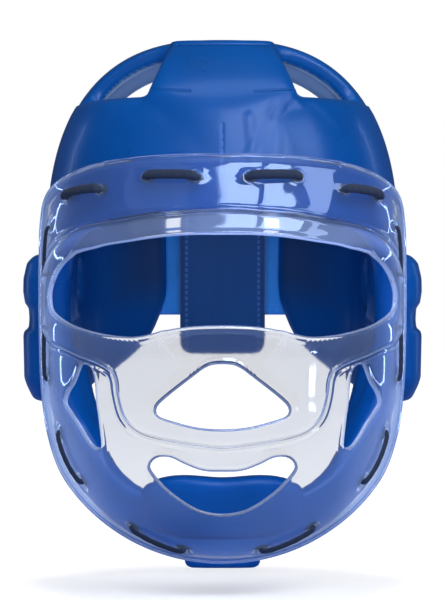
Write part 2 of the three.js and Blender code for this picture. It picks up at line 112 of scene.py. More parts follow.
# Rim of the shield, right half: shares of the foam's half width there and of
# the head's height
SHIELD_RIM = (
    (0.0, 0.754), (0.312, 0.7525), (0.604, 0.744), (0.76, 0.732), (0.89, 0.711), (0.957, 0.684),
    (0.981, 0.639), (0.99, 0.567), (0.99, 0.485), (0.99, 0.405), (0.989, 0.326), (0.976, 0.24),
    (0.94, 0.1625), (0.842, 0.098), (0.646, 0.05), (0.361, 0.0206), (0.0, 0.0107),
)

# Outlines on the shield seen from the front, right half, top to bottom
GOGGLE = (
    (0.0, 0.65), (0.22, 0.646), (0.4, 0.6405), (0.53, 0.633), (0.686, 0.626), (0.784, 0.617),
    (0.86, 0.602), (0.925, 0.578), (0.958, 0.555), (0.972, 0.52), (0.972, 0.46), (0.96, 0.428),
    (0.92, 0.412), (0.85, 0.404), (0.767, 0.392), (0.684, 0.3825), (0.629, 0.375), (0.58, 0.363),
    (0.557, 0.347), (0.55, 0.327), (0.534, 0.301), (0.51, 0.28), (0.463, 0.263), (0.4, 0.2515),
    (0.294, 0.243), (0.14, 0.235), (0.0, 0.23),
)
EYE_WINDOW = (
    (0.0, 0.608), (0.22, 0.607), (0.45, 0.598), (0.61, 0.59), (0.73, 0.579), (0.8, 0.567),
    (0.86, 0.544), (0.895, 0.517), (0.904, 0.496), (0.887, 0.47), (0.81, 0.45), (0.735, 0.4385),
    (0.605, 0.427), (0.487, 0.4227), (0.417, 0.424), (0.316, 0.432), (0.18, 0.4395), (0.0, 0.442),
)
NOSE_HOLE = (
    (0.0, 0.38), (0.08, 0.3756), (0.164, 0.355), (0.292, 0.319), (0.34, 0.2997),
    (0.3286, 0.283), (0.249, 0.273), (0.1265, 0.263), (0.0, 0.26),
)
MOUTH_SLOT = (
    (0.0, 0.1876), (0.1, 0.189), (0.19, 0.2), (0.2755, 0.213), (0.351, 0.211), (0.389, 0.194),
    (0.357, 0.1735), (0.266, 0.142), (0.134, 0.113), (0.0, 0.104),
)
CHEEK_HOLE = (
    (0.735, 0.377), (0.756, 0.3735), (0.792, 0.343), (0.8286, 0.323), (0.846, 0.306),
    (0.842, 0.2976), (0.81, 0.283), (0.766, 0.2625), (0.7224, 0.2395), (0.688, 0.2247),
    (0.657, 0.2203), (0.639, 0.2227), (0.636, 0.2326), (0.653, 0.281), (0.663, 0.302),
    (0.669, 0.336), (0.683, 0.3615), (0.695, 0.371), (0.721, 0.377),
)

# Folds of the brow's skin, seen from the front in metres: start, end, width,
# lift of the ridge or, below zero, of the groove, and whether it is on both sides
FOLDS = (
    ((0.0, 0.2822), (0.0245, 0.2822), 0.0011, -0.0007, True),
    ((0.0262, 0.2865), (0.0435, 0.2535), 0.0013, -0.0006, True),
    ((0.0175, 0.2545), (0.0375, 0.256), 0.0011, -0.0006, True),
    ((0.0, 0.236), (0.0, 0.19), 0.0018, -0.00022, False),
    ((0.041, 0.2585), (0.0135, 0.221), 0.004, 0.00035, False),
    ((0.031, 0.252), (0.026, 0.196), 0.005, 0.0004, False),
    ((0.014, 0.24), (0.019, 0.193), 0.0045, 0.0004, False),
    ((0.043, 0.258), (0.064, 0.236), 0.0045, 0.0004, False),
)

# Each lace stretch: at its two holes, turn from the shield's top centre in
# degrees, and reach as a share of the way to the rim
LACES = (
    ("top_inner", (7.2, 19.4), (0.907, 0.92)),
    ("top_outer", (31.5, 38.9), (0.899, 0.933)),
    ("upper_side", (47.2, 57.2), (0.945, 0.95)),
    ("lower_side", (71.2, 87.0), (0.95, 0.955)),
    ("jaw", (105.2, 123.2), (0.92, 0.912)),
    ("chin", (146.8, 166.1), (0.925, 0.945)),
)


def length(name, text, default, **more):
    return FloatProperty(name=name, description=text, default=default, unit="LENGTH",
                         precision=4, **more)


def number(name, text, default, **more):
    return FloatProperty(name=name, description=text, default=default, **more)


def colour(name, text, default):
    return FloatVectorProperty(name=name, description=text, default=default, subtype="COLOR",
                               size=3, min=0.0, max=1.0)


class HeadgearShellSizes(bpy.types.PropertyGroup):
    half_width: length("Half width", "Half the width of the head form", SHELL_HIGH[0] + 0.0015)
    front: length("Front", "Depth of the brow in front of the crown's seat", -SHELL_LOW[1])
    back: length("Back", "Depth of the back behind the crown's seat", 0.112)
    height: length("Height", "Height from the chin to the crown", 0.291)
    crown_rise: length("Crown rise", "Height of the dome", 0.125)
    foam: length("Foam", "Thickness of the foam wall", 0.012)
    squareness: number("Squareness", "How square the head form is", 2.6, min=2.0, max=4.0)
    edge_round: length("Edge rounding", "Size of the rounding along the foam's edges", 0.006)
    tab_raise: length("Tab raise", "How proud the front tab stands", 0.003)
    tab_line: length("Tab line", "Depth of the tab's rolled top edge below the crown", 0.0085)
    tab_top: length("Tab top", "Half width of the front tab at the crown", 0.0245)
    tab_foot: length("Tab foot", "Half width of the front tab at the brow", 0.0405)
    tab_roll: length("Tab roll", "Height of the roll along the tab's top edge", 0.0011)
    band_step: length("Band step", "How proud the brow band stands of the crown arch", 0.0016)
    brow_drop: length("Brow drop", "Depth of the brow band's top edge below the crown", 0.0385)
    arch_front: length("Arch front", "Depth of the crown arch's front edge", 0.022)
    arch_back: length("Arch back", "Depth of the crown arch's rear edge", 0.042)
    rear_drop: length("Rear drop", "Depth of the rear band's top edge below the crown", 0.043)
    rear_width: length("Rear band", "Width of the rear band", 0.048)
    chin_block: length("Chin block", "Half width of the block under the chin", 0.0205)
    spine: length("Spine", "Half width of the rear spine", 0.02)
    gap: length("Back gap", "Half width of the gap at the back", 0.034)
    ear_hole: length("Ear hole", "Radius of the hearing hole in the shell", 0.013)
    ear_hole_drop: length("Ear hole drop", "Depth of the hearing hole below the dome", 0.013)
    ear_hole_place: length("Ear hole place", "Depth of the hearing hole behind the seat", 0.02)
    cheek: length("Cheek", "Height of the thick part of the cheeks", 0.082)
    cheek_thick: length("Cheek thickness", "What the cheeks are thicker inside", 0.0115)
    ear_ridge: length("Ear ridge", "Radius of the ridge round the hearing hole, inside", 0.0048)
    voxel: length("Voxel", "Grid step of the foam's skin", 0.0019)


class HeadgearEarSizes(bpy.types.PropertyGroup):
    drop: length("Drop", "Depth of the guard's foot below the dome", 0.0815)
    height: length("Height", "Height of the ear guard", 0.0855)
    half_depth: length("Half depth", "Half the guard's depth", 0.038)
    proud: length("Proud", "How far the guard stands out of the shell", 0.0145)
    place: length("Place", "Middle of the guard behind the seat", 0.015)
    hole: length("Hole", "Radius of the hearing hole", 0.009)
    squareness: number("Squareness", "How square the lobes are", 3.2, min=2.0, max=6.0)
    edge_round: length("Edge rounding", "Size of the rounding at the guard's edges", 0.005)
    voxel: length("Voxel", "Grid step of the guard's skin", 0.0016)


class HeadgearShieldSizes(bpy.types.PropertyGroup):
    wall: length("Wall", "Thickness of the clear sheet", 0.0022)
    front: length("Front", "Depth of the shield's middle in front of the seat", 0.138)
    middle: length("Middle", "Height of the shield's middle above the chin", 0.095)
    clearance: length("Clearance", "Room between the shield and the foam", 0.0005)
    step: length("Goggle step", "How far the goggle area stands proud", 0.0034)
    lip: length("Lip", "Height of the lip round each hole", 0.0009)
    bead: length("Bead", "Height of the bead along the rim", 0.0016)
    spacing: length("Spacing", "Distance between the sheet's mesh points", 0.0033)
    top_bulge: number("Top bulge", "Profile power at the brow", 1.0, min=0.3, max=2.0)
    side_bulge: number("Side bulge", "Profile power at the sides", 0.5, min=0.3, max=2.0)


class HeadgearSoftSizes(bpy.types.PropertyGroup):
    lace: length("Lace", "Diameter of the lace", 0.0046)
    lace_hole: length("Lace hole", "Radius of a lace hole", 0.0031)
    flap_corner: length("Flap corner", "Corner radius of the back flap", 0.008)
    ribs: IntProperty(name="Ribs", description="Ribs across the elastic band", default=62, min=8)
    pad_lap: length("Pad lap", "How far the chin pad laps over the jaw band", 0.0035)
    pad_foot: length("Pad foot", "Height of the chin pad's lower edge", 0.014)
    stitch: length("Stitch", "Length of one stitch", 0.0034)


class HeadgearColours(bpy.types.PropertyGroup):
    foam: colour("Foam", "Dipped foam", (0.0004, 0.072, 0.32))
    # Painted highlight: the underside of the crown arch is painted pale for the light it mirrors.
    crown: colour("Crown lining", "Underside of the crown arch", (0.6, 0.82, 1.0))
    # Painted shade: the inside of the foam, the foam's blue painted darker.
    inside_painted_shading: colour("Lining", "Inside of the foam", (0.013, 0.042, 0.135))
    # Painted light: the front and lower part of the inside, painted lighter than the rest of it.
    low: colour("Low lining", "Inside of the foam, its front and lower part", (0.002, 0.064, 0.27))
    prick: colour("Prick", "Stitch pricks down the brow", (0.015, 0.11, 0.42))
    thread: colour("Thread", "Stitches along the back flap", (0.05, 0.14, 0.38))
    shield: colour("Shield", "Tone of the clear sheet", (0.87, 0.88, 0.9))
    # Painted glow: bluish light painted into the clear sheet, standing in for the hazy reflections
    # on it.
    scatter: colour("Scatter", "Blue light that the clear sheet carries", (0.36, 0.52, 1.0))
    edge: colour("Edge", "Cut edges of the clear sheet", (0.55, 0.64, 0.9))
    padding: colour("Padding", "Cloth of the back flap", (0.0075, 0.075, 0.28))
    # The elastic's own bright blue, painted brighter still as painted light for the light that
    # falls on it from behind.
    elastic: colour("Elastic", "Elastic band", (0.04, 0.32, 1.0))
    lace: colour("Lace", "Lace cord", (0.006, 0.017, 0.055))
    floor: colour("Floor", "Pale floor", (0.95, 0.95, 0.95))
    floor_mirrored: colour("Mirrored floor", "Floor as the object sees it", (0.22, 0.33, 0.6))


class HeadgearStageSizes(bpy.types.PropertyGroup):
    distance: length("Camera distance", "Distance of the camera from the seat", 1.5)
    eye_height: length("Camera height", "Height of the camera above the chin", 0.143)
    lens: number("Lens", "Focal length in millimetres", 157.9)
    floor_drop: length("Floor drop", "How far the floor lies below the chin", 0.017)
    floor_glow: number("Floor glow", "Light the floor gives the camera", 0.4, min=0.1)
    surround: number("Surround", "Soft light of the room on the object", 0.37, min=0.0)
    through: number("Through", "Backdrop's brightness through the shield", 0.78, min=0.0)
    backdrop: number("Backdrop", "Brightness of the backdrop in reflections", 0.09, min=0.0)
    overhead: number("Overhead", "Strength of the light straight above", 1.0, min=0.0)
    box_tint: colour("Box tint", "Colour of what the object mirrors", (0.5, 0.66, 1.0))
    mirrored: number("Mirrored room", "Brightness of the room in reflections", 0.04, min=0.0)


def sizes(name):
    return getattr(bpy.context.scene, "headgear_" + name)

def seat_height():
    """Height of the origin, the crown's seat, above the chin."""
    shell = sizes("shell")
    return shell.height - shell.foam


def dome_base():
    """Height of the dome's foot above the chin."""
    shell = sizes("shell")
    return shell.height - shell.crown_rise


def ear_distance(y, h, radius):
    """Distance outside a round hearing hole, seen from the side."""
    shell = sizes("shell")
    return np.hypot(y - shell.ear_hole_place, h - (dome_base() - shell.ear_hole_drop)) - radius


def smooth_max(one, two, blend):
    overlap = np.maximum(blend - np.abs(one - two), 0.0) / blend
    return np.maximum(one, two) + overlap * overlap * blend / 4


def smooth_min(one, two, blend):
    return -smooth_max(-one, -two, blend)


def smooth_step(low, high, value):
    share = np.clip((value - low) / (high - low), 0.0, 1.0)
    return share * share * (3 - 2 * share)


def hump(value, width):
    """One where the value is zero, fading to nothing either way."""
    return np.exp(-(value / width) ** 2)


def unit(vectors):
    return vectors / np.linalg.norm(vectors, axis=-1, keepdims=True)


def round_turns(count):
    return np.linspace(0, 2 * math.pi, count, endpoint=False)


def closed_curve(points, parts=6):
    """A smooth closed curve through the points, as an array of points."""
    points = np.asarray(points, float)
    before, after = np.roll(points, 1, 0), np.roll(points, -1, 0)
    beyond = np.roll(points, -2, 0)
    share = np.arange(parts)[:, None, None] / parts
    bend = 2 * points + (after - before) * share
    bend = bend + (2 * before - 5 * points + 4 * after - beyond) * share ** 2
    bend = bend + (3 * points - before - 3 * after + beyond) * share ** 3
    return (bend / 2).transpose(1, 0, 2).reshape(-1, points.shape[1])


def both_halves(points):
    points = np.asarray(points, float)
    left = points[np.abs(points[:, 0]) > 1e-9][::-1]
    left[:, 0] *= -1
    return np.vstack([points, left])


def outline_distance(across, up, outline):
    """Distance to a closed outline in the plane, negative inside it."""
    best = np.full(np.shape(across), np.inf)
    inside = np.zeros(np.shape(across), bool)
    for (x0, y0), (x1, y1) in zip(outline, np.roll(outline, -1, 0)):
        dx, dy = x1 - x0, y1 - y0
        share = np.clip(((across - x0) * dx + (up - y0) * dy) / max(dx * dx + dy * dy, 1e-18), 0, 1)
        away = (across - x0 - share * dx) ** 2 + (up - y0 - share * dy) ** 2
        best = np.minimum(best, away)
        crosses = (y0 > up) != (y1 > up)
        inside ^= crosses & (across < x0 + dx * (up - y0) / (dy if dy else 1e-18))
    best = np.sqrt(best)
    return np.where(inside, -best, best)


def evened(values, width):
    """The values smoothed by a moving window."""
    kernel = np.hanning(width) / np.hanning(width).sum()
    return np.convolve(np.pad(values, width // 2, mode="edge"), kernel, "valid")


def section_curves():
    """Smooth curves of half width, front and back against height, below the dome."""
    shell = sizes("shell")
    base = dome_base()
    heights, *shares = np.array(JAW_SECTIONS).T
    heights = heights * base
    fine = np.linspace(heights[0], heights[-1], 240)
    curves = {"height": fine}
    fulls = (shell.half_width, shell.front, shell.back)
    for key, column, full in zip(("half", "front", "back"), shares, fulls):
        values = column * full
        slopes = np.gradient(values, heights)
        slopes[-1] = 0.0
        place = np.clip(np.searchsorted(heights, fine) - 1, 0, len(heights) - 2)
        step = heights[place + 1] - heights[place]
        share = (fine - heights[place]) / step
        low, high = values[place], values[place + 1]
        curves[key] = ((1 + 2 * share) * (1 - share) ** 2 * low
                       + share ** 2 * (3 - 2 * share) * high
                       + share * (1 - share) ** 2 * step * slopes[place]
                       - share ** 2 * (1 - share) * step * slopes[place + 1])
        curves[key + "_slope"] = np.gradient(curves[key], fine)
    return curves


def head_distance(x, y, h, curves):
    """Distance outside the head form, to first order near its surface."""
    shell = sizes("shell")
    base = dome_base()
    power = shell.squareness
    level = np.clip(h, 0.0, base)
    half, front, back, half_slope, front_slope, back_slope = (
        np.interp(level, curves["height"], curves[key + end])
        for end in ("", "_slope") for key in ("half", "front", "back"))
    depth = np.where(y < 0, front, back)
    depth_slope = np.where(y < 0, front_slope, back_slope)
    side, along = np.abs(x) / half, np.abs(y) / depth
    rise = np.maximum(h - base, 0.0) / shell.crown_rise
    total = np.maximum(side ** power + along ** power + rise ** power, 1e-6)
    form = total ** (1 / power)
    scale = total ** (1 / power - 1)
    slope_x = side ** (power - 1) / half * scale
    slope_y = along ** (power - 1) / depth * scale
    slope_h = rise ** (power - 1) / shell.crown_rise * scale
    flare = (side ** power * half_slope / half + along ** power * depth_slope / depth) * scale
    slope_h = slope_h - np.where(h < base, flare, 0.0)
    steepness = np.sqrt(slope_x ** 2 + slope_y ** 2 + slope_h ** 2)
    return (form - 1) / np.maximum(steepness, 1e-3)


def head_section(h, curves, offset=0.0):
    """Half width and front of the head form at a height, moved out by offset."""
    shell = sizes("shell")
    base = dome_base()
    level = np.clip(h, 0.0, base)
    rise = np.clip((h - base) / (shell.crown_rise + offset), 0.0, 0.999)
    scale = (1 - rise ** shell.squareness) ** (1 / shell.squareness)
    return [(np.interp(level, curves["height"], curves[key]) + offset) * scale
            for key in ("half", "front", "back")]


def depth_share(across):
    power = sizes("shell").squareness
    return (1 - np.minimum(np.abs(across), 1.0) ** power) ** (1 / power)


def tab_distance(x, h):
    """Distance outside the front tab, seen from the front."""
    shell = sizes("shell")
    foot = shell.height - shell.brow_drop
    share = np.clip((h - foot) / shell.brow_drop, -0.6, 1.2)
    edge = shell.tab_foot + (shell.tab_top - shell.tab_foot) * share
    slant = math.hypot(1.0, (shell.tab_top - shell.tab_foot) / shell.brow_drop)
    return (np.abs(x) - edge) / slant


def net_of(values, low, step):
    """Quads of the surface where a grid of values changes sign, one point per cell."""
    inside = values < 0
    shape = tuple(n - 1 for n in values.shape)
    total = np.zeros(shape + (3,), np.float32)
    count = np.zeros(shape, np.int16)
    ranges = (slice(0, -1), slice(1, None))
    for axis in range(3):
        others = [a for a in range(3) if a != axis]
        for first in (0, 1):
            for second in (0, 1):
                near, far = [None] * 3, [None] * 3
                near[axis], far[axis] = ranges
                for other, pick in zip(others, (first, second)):
                    near[other] = far[other] = ranges[pick]
                a, b = values[tuple(near)], values[tuple(far)]
                cut = inside[tuple(near)] != inside[tuple(far)]
                share = np.where(cut, a / np.where(cut, a - b, 1.0), 0.0)
                total[..., axis] += share
                for other, pick in zip(others, (first, second)):
                    total[..., other] += np.where(cut, float(pick), 0.0)
                count += cut
    active = count > 0
    number = np.full(shape, -1, np.int64)
    number[active] = np.arange(int(active.sum()))
    cells = np.argwhere(active)
    points = (cells + total[active] / count[active][:, None]) * step + np.asarray(low)
    quads = []
    for axis in range(3):
        others = [(axis + 1) % 3, (axis + 2) % 3]
        near, far = [slice(1, -1)] * 3, [slice(1, -1)] * 3
        near[axis], far[axis] = slice(0, -1), slice(1, None)
        cut = np.argwhere(inside[tuple(near)] != inside[tuple(far)])
        start = cut.copy()
        for other in others:
            start[:, other] += 1
        leaving = inside[tuple(start.T)]
        corners = []
        for first, second in ((1, 1), (0, 1), (0, 0), (1, 0)):
            cell = start.copy()
            cell[:, others[0]] -= first
            cell[:, others[1]] -= second
            corners.append(number[tuple(cell.T)])
        ring = np.stack(corners, 1)
        ring[~leaving] = ring[~leaving][:, ::-1]
        quads.append(ring)
    return points, np.vstack(quads)


def skin_of(field, low, high, step, rough=None):
    """Mesh the surface where field is zero, then pull its points onto it."""
    axes = [np.arange(a, b + step, step) for a, b in zip(low, high)]
    grid = np.meshgrid(*axes, indexing="ij")
    values = rough(*grid) if rough else field(*grid)
    if rough:
        near = values < 7 * step
        values[near] = field(*(part[near] for part in grid))
    points, quads = net_of(values, low, step)
    small = step * 0.2
    for _ in range(3):
        here = field(*points.T)
        slope = np.stack([field(*(points + step_on).T) - field(*(points - step_on).T)
                          for step_on in small * np.eye(3)], 1) / (2 * small)
        size = np.maximum((slope ** 2).sum(1), 0.05)
        points = points - np.clip(here / size, -step, step)[:, None] * slope
    return points, quads


def mesh_piece(name, points, faces, materials, faces_material=None, node=None):
    """A smooth object from points and faces that rides on the body and replaces its node."""
    mesh = bpy.data.meshes.new(name)
    mesh.from_pydata(np.asarray(points).tolist(), [], np.asarray(faces).tolist()
                     if isinstance(faces, np.ndarray) else faces)
    mesh.validate()
    mesh.polygons.foreach_set("use_smooth", np.ones(len(mesh.polygons), bool))
    for material in materials:
        mesh.materials.append(material)
    if faces_material is not None:
        mesh.polygons.foreach_set("material_index", np.asarray(faces_material, np.int32))
    mesh.update()
    piece = bpy.data.objects.new(name, mesh)
    bpy.context.scene.collection.objects.link(piece)
    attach(piece, "root")
    if node:
        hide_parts(node)
    return piece

def add_layer(piece, name, values):
    """A share for each point, which the material reads by this name."""
    layer = piece.data.attributes.new(name, "FLOAT", "POINT")
    layer.data.foreach_set("value", np.asarray(values, np.float32))


def placed(name, data, place=(0, 0, 0), turn=(0, 0, 0)):
    """An object of the stage."""
    made = bpy.data.objects.new(name, data)
    made.location, made.rotation_euler = place, turn
    bpy.context.scene.collection.objects.link(made)
    return made


def feed(tree, made, values):
    """Fill a node's inputs: a socket is linked, anything else is set."""
    for key, value in values.items():
        socket = made.inputs[key.replace("_", " ") if isinstance(key, str) else key]
        if isinstance(value, bpy.types.NodeSocket):
            tree.links.new(value, socket)
        elif value is not None:
            socket.default_value = value


def node(tree, kind, *values, **settings):
    """A node with its first inputs in order, then its settings and inputs by name."""
    made = tree.nodes.new("ShaderNode" + kind)
    inputs = dict(enumerate(values))
    for key, value in settings.items():
        if hasattr(made, key):
            setattr(made, key, value)
        else:
            inputs[key] = value
    feed(tree, made, inputs)
    return made


def calc(tree, operation, *values, **settings):
    return node(tree, "Math", *values, operation=operation, **settings).outputs[0]


def vector(tree, operation, *values, output="Vector", **settings):
    made = node(tree, "VectorMath", *values, operation=operation, **settings)
    return made.outputs[output]


def ramp(tree, value, *ends, **settings):
    """A value moved from one range to another; ends: from low, from high, to low, to high."""
    return node(tree, "MapRange", value, *ends, **settings).outputs["Result"]


def blend(tree, share, one, two):
    """One colour passing into another."""
    return node(tree, "Mix", share, *[None] * 5, one, two, data_type="RGBA").outputs[2]


def layer_share(tree, name):
    return node(tree, "Attribute", attribute_name=name).outputs["Fac"]


def object_place(tree):
    return node(tree, "TexCoord").outputs["Object"]


def split(tree, place):
    return node(tree, "SeparateXYZ", place).outputs


def opaque(values):
    return (*values, 1.0)


# Shader groups shared by several materials
def group(name, inputs, outputs, fill):
    """The named group, made at its first use; fill gives what feeds its outputs."""
    tree = bpy.data.node_groups.get(name)
    if tree:
        return tree
    tree = bpy.data.node_groups.new(name, "ShaderNodeTree")
    for socket, default in inputs.items():
        kind = "Float" if isinstance(default, float) else "Color" if len(default) == 4 else "Vector"
        made = tree.interface.new_socket(socket, in_out="INPUT", socket_type="NodeSocket" + kind)
        made.default_value = default
    for socket, kind in outputs.items():
        tree.interface.new_socket(socket, in_out="OUTPUT", socket_type="NodeSocket" + kind)
    into = tree.nodes.new("NodeGroupInput").outputs
    feed(tree, tree.nodes.new("NodeGroupOutput"), fill(tree, into))
    return tree


def fill_skin(tree, into):
    """Fine grain and slow waves of a dipped skin, as a height, and a colour shift."""
    place = object_place(tree)
    looks = ((into["Grain"], 3.0, 0.6), (into["Wave"], 2.0, 0.45), (14.0, 4.0, 0.55))
    grain, wave, blotch = (
        node(tree, "TexNoise", Vector=place, Scale=scale, Detail=detail,
             Roughness=rough).outputs["Fac"] for scale, detail, rough in looks)
    height = node(tree, "Mix", into["Wave Share"], None, grain, wave, data_type="FLOAT").outputs[0]
    shade = ramp(tree, blotch, 0.3, 0.7, calc(tree, "SUBTRACT", 1.0, into["Shift"]),
                 calc(tree, "ADD", 1.0, into["Shift"]))
    return {"Colour": vector(tree, "SCALE", into["Colour"], Scale=shade), "Height": height,
            "Roughness": calc(tree, "MULTIPLY", into["Roughness"], shade)}


def fill_stitches(tree, into):
    """A row of short stitches, as a mask."""
    dash = calc(tree, "FRACT", calc(tree, "DIVIDE", into["Along"], into["Length"]))
    near = calc(tree, "LESS_THAN", calc(tree, "ABSOLUTE", into["Away"]), into["Half Width"])
    return {"Mask": calc(tree, "MULTIPLY", calc(tree, "LESS_THAN", dash, STITCH_SHARE), near)}


def fill_fold(tree, into):
    """A straight fold between two places, as a height that falls to nothing at its width."""
    ahead = vector(tree, "SUBTRACT", into["End"], into["Start"])
    here = vector(tree, "SUBTRACT", into["Place"], into["Start"])
    products = [vector(tree, "DOT_PRODUCT", one, ahead, output="Value") for one in (here, ahead)]
    foot = vector(tree, "SCALE", ahead, Scale=calc(tree, "DIVIDE", *products, use_clamp=True))
    away = vector(tree, "DISTANCE", here, foot, output="Value")
    slope = ramp(tree, away, None, into["Width"], into["Lift"], 0.0,
                 interpolation_type="SMOOTHSTEP")
    return {"Height": calc(tree, "ADD", slope, into["Below"])}


GROUPS = {
    "dipped_skin": (
        {"Colour": (0.1, 0.1, 0.1, 1), "Grain": 900.0, "Wave": 26.0, "Wave Share": 0.7,
         "Shift": 0.25, "Roughness": 0.25},
        {"Colour": "Color", "Height": "Float", "Roughness": "Float"}, fill_skin),
    "stitch_row": (
        {"Along": 0.0, "Away": 0.0, "Length": 0.0034, "Half Width": 0.0006},
        {"Mask": "Float"}, fill_stitches),
    "skin_fold": (
        {"Place": (0, 0, 0), "Start": (0, 0, 0), "End": (0, 0, 1), "Width": 0.002, "Lift": 0.0005,
         "Below": 0.0},
        {"Height": "Float"}, fill_fold),
}


def grouped(tree, name, **values):
    """Outputs of a shared group placed in a material."""
    return node(tree, "Group", node_tree=group(name, *GROUPS[name]), **values).outputs


def material_of(name, fill):
    """The named material, made at its first use; fill gives what feeds its shader."""
    material = bpy.data.materials.get(name)
    if not material:
        material = bpy.data.materials.new(name)
        material.use_nodes = True
        tree = material.node_tree
        feed(tree, tree.nodes["Principled BSDF"], fill(tree))
    return material


def foam_skin():
    """Glossy dipped skin, its inside painted darker as painted shade with painted light on its
    front and lower part, and a painted highlight under the crown arch; the brow has folds and a few
    stitches.
    """
    def fill(tree):
        colours = sizes("colours")
        skin = grouped(tree, "dipped_skin", Colour=opaque(colours.foam), Roughness=0.3, Shift=0.12,
                       Wave_Share=0.8, Grain=1400.0, Wave=34.0)
        place = split(tree, object_place(tree))
        row = grouped(tree, "stitch_row", Along=place["Z"], Away=place["X"], Length=0.0042,
                      Half_Width=0.00055)["Mask"]
        front = calc(tree, "LESS_THAN", place["Y"], -sizes("shell").front / 2)
        shown = calc(tree, "MULTIPLY", front, calc(tree, "COMPARE", place["Z"], *SEAM_LEVEL))
        mask = calc(tree, "MULTIPLY", row, shown)
        tone = blend(tree, mask, skin["Colour"], opaque(colours.prick))
        # Painted shade over the inside, painted light on its front and lower part, and a painted
        # highlight under the crown arch.
        for layer in ("inside_painted_shading", "low", "crown"):
            tone = blend(tree, layer_share(tree, layer), tone, opaque(getattr(colours, layer)))
        bump = node(tree, "Bump", Strength=0.2, Distance=0.0006, Normal=folded(tree, place, front),
                    Height=calc(tree, "SUBTRACT", skin["Height"], mask))
        return {"Base Color": tone, "Roughness": skin["Roughness"],
                "Normal": bump.outputs["Normal"],
                "Coat Weight": ramp(tree, layer_share(tree, "inside_painted_shading"), None, None, 0.08, 0.5),
                "Coat Roughness": 0.11, "Specular IOR Level": 0.15}

    return material_of("dipped_foam", fill)


def folded(tree, place, front):
    """Normals of the brow's folds, from one fold group to the next."""
    flat = node(tree, "CombineXYZ", X=place["X"], Z=place["Z"]).outputs["Vector"]
    sideways = split(tree, vector(tree, "ABSOLUTE", flat))["X"]
    upright = node(tree, "CombineXYZ", X=sideways, Z=place["Z"]).outputs["Vector"]
    height = None
    for start, end, width, lift, both in FOLDS:
        start, end = ((across, 0.0, up - seat_height()) for across, up in (start, end))
        height = grouped(tree, "skin_fold", Place=upright if both else flat, Start=start, End=end,
                         Width=width, Lift=lift, Below=height)["Height"]
    height = calc(tree, "MULTIPLY", height, front)
    return node(tree, "Bump", Strength=1.0, Distance=1.0, Height=height).outputs["Normal"]


def clear_sheet(name, tone, clearness):
    """Clear moulded plastic with a faint painted blue glow; light that shades other pieces passes
    nearly all of it.
    """
    def fill(tree):
        skin = grouped(tree, "dipped_skin", Colour=opaque(tone), Roughness=0.045, Shift=0.03,
                       Wave_Share=0.98, Grain=600.0, Wave=20.0)
        bump = node(tree, "Bump", Strength=0.1, Distance=0.001, Height=skin["Height"])
        # Painted glow: the sheet glows bluish by its share of painted glow.
        glow = vector(tree, "SCALE", sizes("colours").scatter, Scale=layer_share(tree, "painted_glow_share"))
        shadow = node(tree, "LightPath").outputs["Is Shadow Ray"]
        return {"Base Color": skin["Colour"], "Roughness": skin["Roughness"],
                "Normal": bump.outputs["Normal"], "Transmission Weight": clearness, "IOR": 1.55,
                "Emission Color": glow, "Emission Strength": 0.2,
                "Alpha": ramp(tree, shadow, None, None, 1.0, 0.12)}

    return material_of(name, fill)


def cloth_material(name, tone, scale, bump_strength, sheen, seam=0.0):
    """Fine woven cloth from two crossed waves, stitched at a distance from the middle."""
    def fill(tree):
        place = object_place(tree)
        waves = [node(tree, "TexWave", wave_type="BANDS", bands_direction=direction, Vector=place,
                      Scale=scale, Distortion=0.6).outputs["Fac"] for direction in ("X", "Z")]
        height = calc(tree, "MULTIPLY", *waves)
        skin = grouped(tree, "dipped_skin", Colour=opaque(tone), Roughness=0.75, Shift=0.18,
                       Wave_Share=0.5)
        # Painted shade and highlight of the weave: its gaps darker, its raised threads lighter.
        shade = ramp(tree, height, None, None, 0.85, 1.22)
        shown = vector(tree, "SCALE", skin["Colour"], Scale=shade)
        if seam:
            apart = split(tree, place)
            away = calc(tree, "SUBTRACT", calc(tree, "ABSOLUTE", apart["X"]), seam)
            row = grouped(tree, "stitch_row", Along=apart["Z"], Away=away,
                          Length=sizes("soft").stitch, Half_Width=0.0008)["Mask"]
            shown = blend(tree, row, shown, opaque(sizes("colours").thread))
            height = calc(tree, "ADD", height, row)
        bump = node(tree, "Bump", Strength=bump_strength, Distance=0.0004, Height=height)
        return {"Base Color": shown, "Roughness": skin["Roughness"],
                "Normal": bump.outputs["Normal"], "Sheen Weight": sheen}

    return material_of(name, fill)


def seen_mask(tree, through):
    """One for what the camera sees, and the given share for what it sees through the shield."""
    path = node(tree, "LightPath").outputs
    bounced = calc(tree, "ADD", path["Diffuse Depth"], path["Glossy Depth"])
    straight = calc(tree, "LESS_THAN", bounced, 0.5)
    passed = calc(tree, "MULTIPLY", path["Is Transmission Ray"], straight)
    passed = calc(tree, "MULTIPLY", passed, through)
    return path, calc(tree, "MAXIMUM", path["Is Camera Ray"], passed)


def floor_material():
    colours, stage = sizes("colours"), sizes("stage")

    def fill(tree):
        path, seen = seen_mask(tree, 1.0)
        tone = blend(tree, seen, opaque(colours.floor_mirrored), opaque(colours.floor))
        dimmed = calc(tree, "MULTIPLY", path["Is Transmission Ray"],
                      1 - (1 - stage.through) / stage.floor_glow)
        return {"Base Color": tone,
                "Emission Color": calc(tree, "MAXIMUM", path["Is Camera Ray"], dimmed),
                "Emission Strength": stage.floor_glow, "Roughness": 0.6, "Specular IOR Level": 0.0}

    return material_of("pale_floor", fill)


